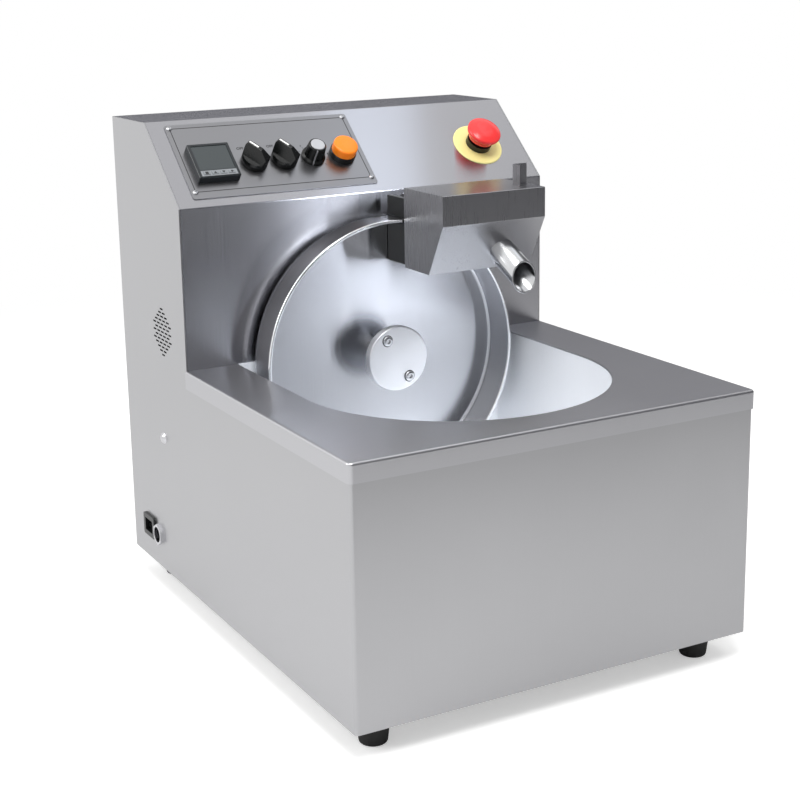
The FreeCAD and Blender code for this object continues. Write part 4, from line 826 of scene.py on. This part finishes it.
def cross_screw(radius, head, slot):
    """A domed screw head with a cross recess, standing on z = 0, its foot sunk in the sheet."""
    def cross_loop(reach):
        corners = [(reach, -slot), (reach, slot), (slot, slot), (slot, reach), (-slot, reach),
                   (-slot, slot), (-reach, slot), (-reach, -slot), (-slot, -slot), (-slot, -reach),
                   (slot, -reach), (slot, -slot)]
        per_side = screw_sides // len(corners)
        points = []
        for i, corner in enumerate(corners):
            after = corners[(i + 1) % len(corners)]
            points += [Vector(corner).lerp(Vector(after), step / per_side)
                       for step in range(per_side)]
        return points

    dome = [(1, -0.5 * mm), (1, 0.35 * head), (0.85, 0.75 * head), (0.7, 0.95 * head), (0.66, head)]
    levels = [(circle_loop(share * radius, screw_sides, -dome_shift), height)
              for share, height in dome]
    levels += [(cross_loop(0.56 * radius), head), (cross_loop(0.5 * radius), 0.45 * head)]
    loops = [[Vector((point.x, point.y, height)) for point in loop] for loop, height in levels]
    return skinned("cross_screw", loops, socket_steel, 35)


grid_tree, given = node_tree("screw_grid", [("Width", "NodeSocketFloat"), ("Height", "NodeSocketFloat"),
                                            ("Columns", "NodeSocketInt"), ("Rows", "NodeSocketInt")])
grid = add(grid_tree, "GeometryNodeMeshGrid", {
    "Size X": given.outputs["Width"], "Size Y": given.outputs["Height"],
    "Vertices X": given.outputs["Columns"], "Vertices Y": given.outputs["Rows"]})
screws = add(grid_tree, "GeometryNodeInstanceOnPoints", {"Points": grid.outputs[0],
                                                         "Instance": given.outputs["Geometry"]})
close_tree(grid_tree, screws.outputs[0], socket_steel)

plate_screw_radius = 3 * mm
plate_screw_head = 1.6 * mm
model = cross_screw(plate_screw_radius, plate_screw_head, 0.35 * mm)
screw_mesh = model.data
bpy.data.objects.remove(model)
middle = (border_low + border_high) / 2
size = border_high - border_low
plate_screws = made_by_nodes("plate_screws", screw_mesh, grid_tree,
                             {"Width": size.x, "Height": size.y, "Columns": 2, "Rows": 2},
                             panel @ Matrix.Translation((middle.x, middle.y, face)), socket_steel)
fix(plate_screws, "casing", "bright_steel", "control_plate_screws")

rear_screw_radius = 4 * mm
rear_screw_head = 2.2 * mm
low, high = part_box("rear_cover_screws")
model = cross_screw(rear_screw_radius, rear_screw_head, 0.45 * mm)
screw_mesh = model.data
bpy.data.objects.remove(model)
rear_face = Matrix.Translation(((low.x + high.x) / 2, high.y - rear_screw_head, (low.z + high.z) / 2))
rear_screws = made_by_nodes("rear_cover_fixings", screw_mesh, grid_tree,
                            {"Width": high.x - low.x - 2 * rear_screw_radius,
                             "Height": high.z - low.z - 2 * rear_screw_radius, "Columns": 2, "Rows": 3},
                            rear_face @ Matrix.Rotation(math.radians(-90), 4, "X"), socket_steel)
fix(rear_screws, "casing", "bright_steel", "rear_cover_screws")


# Temperature controller: a square black ABS case clipped into the plate, with a grey band round its
# keys, a smoked window a little below its frame, and four grey keys, each with a dark printed sign.
case_low, case_high = on_panel("controller_case")
key_low, key_high = on_panel("controller_key_1")
band_margin = 1.6 * mm
band_side = 3.5 * mm
band_depth = 0.5 * mm
case_abs, tree = new_material("moulded_black_abs_case")
place = add(tree, "ShaderNodeTexCoord")
local = add(tree, "ShaderNodeVectorMath", {0: place.outputs["Object"], 1: panel.translation},
            operation="SUBTRACT")
inside = None
limits = [(panel_across, case_low.x + band_side, case_high.x - band_side),
          (panel_up, key_low.y - band_margin, key_high.y + band_margin),
          (panel_out, case_high.z - band_depth, case_high.z + band_depth)]
for axis, start, end in limits:
    along = add(tree, "ShaderNodeVectorMath", {0: local.outputs[0], 1: axis}, operation="DOT_PRODUCT")
    for sign, limit in ((1, start), (-1, end)):
        signed = add(tree, "ShaderNodeMath", {0: along.outputs["Value"], 1: sign}, operation="MULTIPLY")
        within = add(tree, "ShaderNodeMath", {0: signed.outputs[0], 1: sign * limit},
                     operation="GREATER_THAN")
        inside = within if inside is None else add(
            tree, "ShaderNodeMath", {0: inside.outputs[0], 1: within.outputs[0]}, operation="MULTIPLY")
tone = add(tree, "ShaderNodeMix", {0: inside.outputs[0], 6: linear("#202427"), 7: linear("#8B8F93")},
           data_type="RGBA")
finish_material(tree, add(tree, "ShaderNodeBsdfPrincipled", {"Base Color": tone.outputs[2],
                                                             "Roughness": 0.3}))
dress(case_abs, "controller_case")
window_material = moulded("smoked_acrylic_window", "#3F4547", 0.08, height=0.0)
dress(window_material, "controller_window")
key_rubber = moulded("grey_key_rubber", "#85898D", 0.45)
dress(key_rubber, "controller_key_1", "controller_key_2", "controller_key_3", "controller_key_4")
sign_size = 1.7 * mm
sign_root = 0.1 * mm
sign_shapes = [[(-1, -1), (1, -1), (1, 1), (-1, 1)], [(-1.1, -0.8), (1.1, -0.8), (0, 1)],
               [(-1.1, 0.8), (0, -1), (1.1, 0.8)], [(-1, 0), (0, -1), (1, 0), (0, 1)]]
for number, shape in enumerate(sign_shapes, start=1):
    key = "controller_key_%d" % number
    low, high = on_panel(key)
    middle = (low + high) / 2
    loops = [[panel @ Vector((middle.x + sign_size * x, middle.y + sign_size * y, height))
              for x, y in shape] for height in (high.z - sign_root, high.z + ink_height)]
    fix(skinned("key_sign_%d" % number, loops, ink, 30), "key_%d" % number, "black_plastic")


# Selector knobs: moulded black pointer knobs with a white line let into the ridge at the pointing end.
knob_abs = moulded("moulded_black_knob", "#0A0C0C", 0.26)
dress(knob_abs, "left_knob", "right_knob", "speed_knob")
white_paint = moulded("white_line_paint", "#F2F2F0", 0.4)
knob_rest_angle = 38
line_width = 2.3 * mm
line_start = 0.5 * mm
line_end = 12.4 * mm
line_root = 0.3 * mm
line_height = 0.1 * mm
line_edge = 0.08 * mm
for side in ("left", "right"):
    place = (joint_on_panel(side + "_selector_turn")
             @ Matrix.Rotation(math.radians(knob_rest_angle), 4, "Z"))
    top = on_panel(side + "_knob")[1].z
    line = slab(side + "_knob_line", Vector((-line_width / 2, line_start, top - line_root)),
                Vector((line_width / 2, line_end, top + line_height)), place, white_paint, line_edge)
    fix(line, side + "_selector", "silver_trim")


# Speed knob: fluted black knob with a spun aluminium disc let into its top and a silver line down its
# side to the skirt. The line's path is given as radius and height above the plate, in millimetres.
cap_alloy = brushed_steel("spun_aluminium_disc", "#CFCFD1", 0.3, "X", (0, 0, 1), 0.0)
dress(cap_alloy, "speed_knob_cap")
pointer_angle = -112
pointer_half = 0.8 * mm
pointer_path = [(8.4, 19.95), (8.6, 20.1), (10.1, 19.2), (11.65, 5.1), (13.6, 3.2), (13.6, 0.4)]
pointer_inside = -0.3 * mm
pointer_outside = 0.08 * mm
pointer_drop = 0.2 * mm
place = (dial_place @ Matrix.Translation((0, 0, face))
         @ Matrix.Rotation(math.radians(pointer_angle), 4, "Z"))
loops = []
for radius, height in pointer_path:
    reach, rise = radius * mm, height * mm
    loops.append([place @ Vector((reach + pointer_inside, -pointer_half, rise - pointer_drop)),
                  place @ Vector((reach + pointer_outside, -pointer_half, rise)),
                  place @ Vector((reach + pointer_outside, pointer_half, rise)),
                  place @ Vector((reach + pointer_inside, pointer_half, rise - pointer_drop))])
fix(skinned("speed_knob_line", loops, cap_alloy, 30), "speed_control", "silver_trim")


# Lamp: black base and a flat-topped lens of orange polycarbonate, lit a little from within.
dress(black_abs, "lamp_body")
lens_low, lens_high = on_panel("lamp_lens")
lens_radius = (lens_high.x - lens_low.x) / 2
lens_place = panel @ Matrix.Translation(((lens_low.x + lens_high.x) / 2, (lens_low.y + lens_high.y) / 2,
                                         lens_low.z))
lens_height = lens_high.z - lens_low.z
lens_foot_edge = 0.2 * mm
lens_shoulder = 2.2 * mm
lens_crown = 0.8 * mm
lens_material, tree = new_material("orange_polycarbonate")
shader = add(tree, "ShaderNodeBsdfPrincipled", {
    "Base Color": linear("#FF8A1E"), "Roughness": 0.28, "Subsurface Weight": 0.25,
    "Subsurface Radius": (0.004, 0.0015, 0.0005), "Subsurface Scale": 1.0,
    "Emission Color": linear("#FF7A10"), "Emission Strength": 0.12})
finish_material(tree, shader)
profile = softened([(centre_radius, 0), (lens_radius, 0, lens_foot_edge),
                    (lens_radius, lens_height - lens_crown, lens_shoulder),
                    (0.5 * lens_radius, lens_height - 0.1 * mm, 1 * mm),
                    (centre_radius, lens_height)], 0)
fix(lathed("lamp_dome", profile, lens_place, lens_material, 96), "casing", "orange_lens", "lamp_lens")


# Stop button: a red mushroom on a black collar, over a plain yellow disc. Its profile is taken as
# shares of the button's radius and height.
yellow = moulded("yellow_abs_disc", "#F6EC9E", 0.42)
dress(yellow, "stop_disc")
red = moulded("red_abs_mushroom", "#F23A3A", 0.24, height=0.03)
button_low, button_high = on_panel("stop_button")
button_radius = (button_high.x - button_low.x) / 2
button_height = button_high.z - button_low.z
button_place = panel @ Matrix.Translation(((button_low.x + button_high.x) / 2,
                                           (button_low.y + button_high.y) / 2, button_low.z))
profile = softened([(centre_radius, 0), (0.78 * button_radius, 0, 0.6 * mm),
                    (0.8 * button_radius, 0.15 * button_height, 0.5 * mm),
                    (button_radius, 0.5 * button_height, 2.5 * mm),
                    (button_radius, 0.74 * button_height, 3.5 * mm),
                    (0.6 * button_radius, 0.97 * button_height, 6 * mm),
                    (centre_radius, button_height)], 0, 8)
fix(lathed("stop_mushroom", profile, button_place, red, 128), "stop_head", "red_plastic", "stop_button")


# Left side: the bright reset button in its black switch; the vent, the inlet and the socket are cut
# and dressed above.
dress(bright_steel, "reset_button")
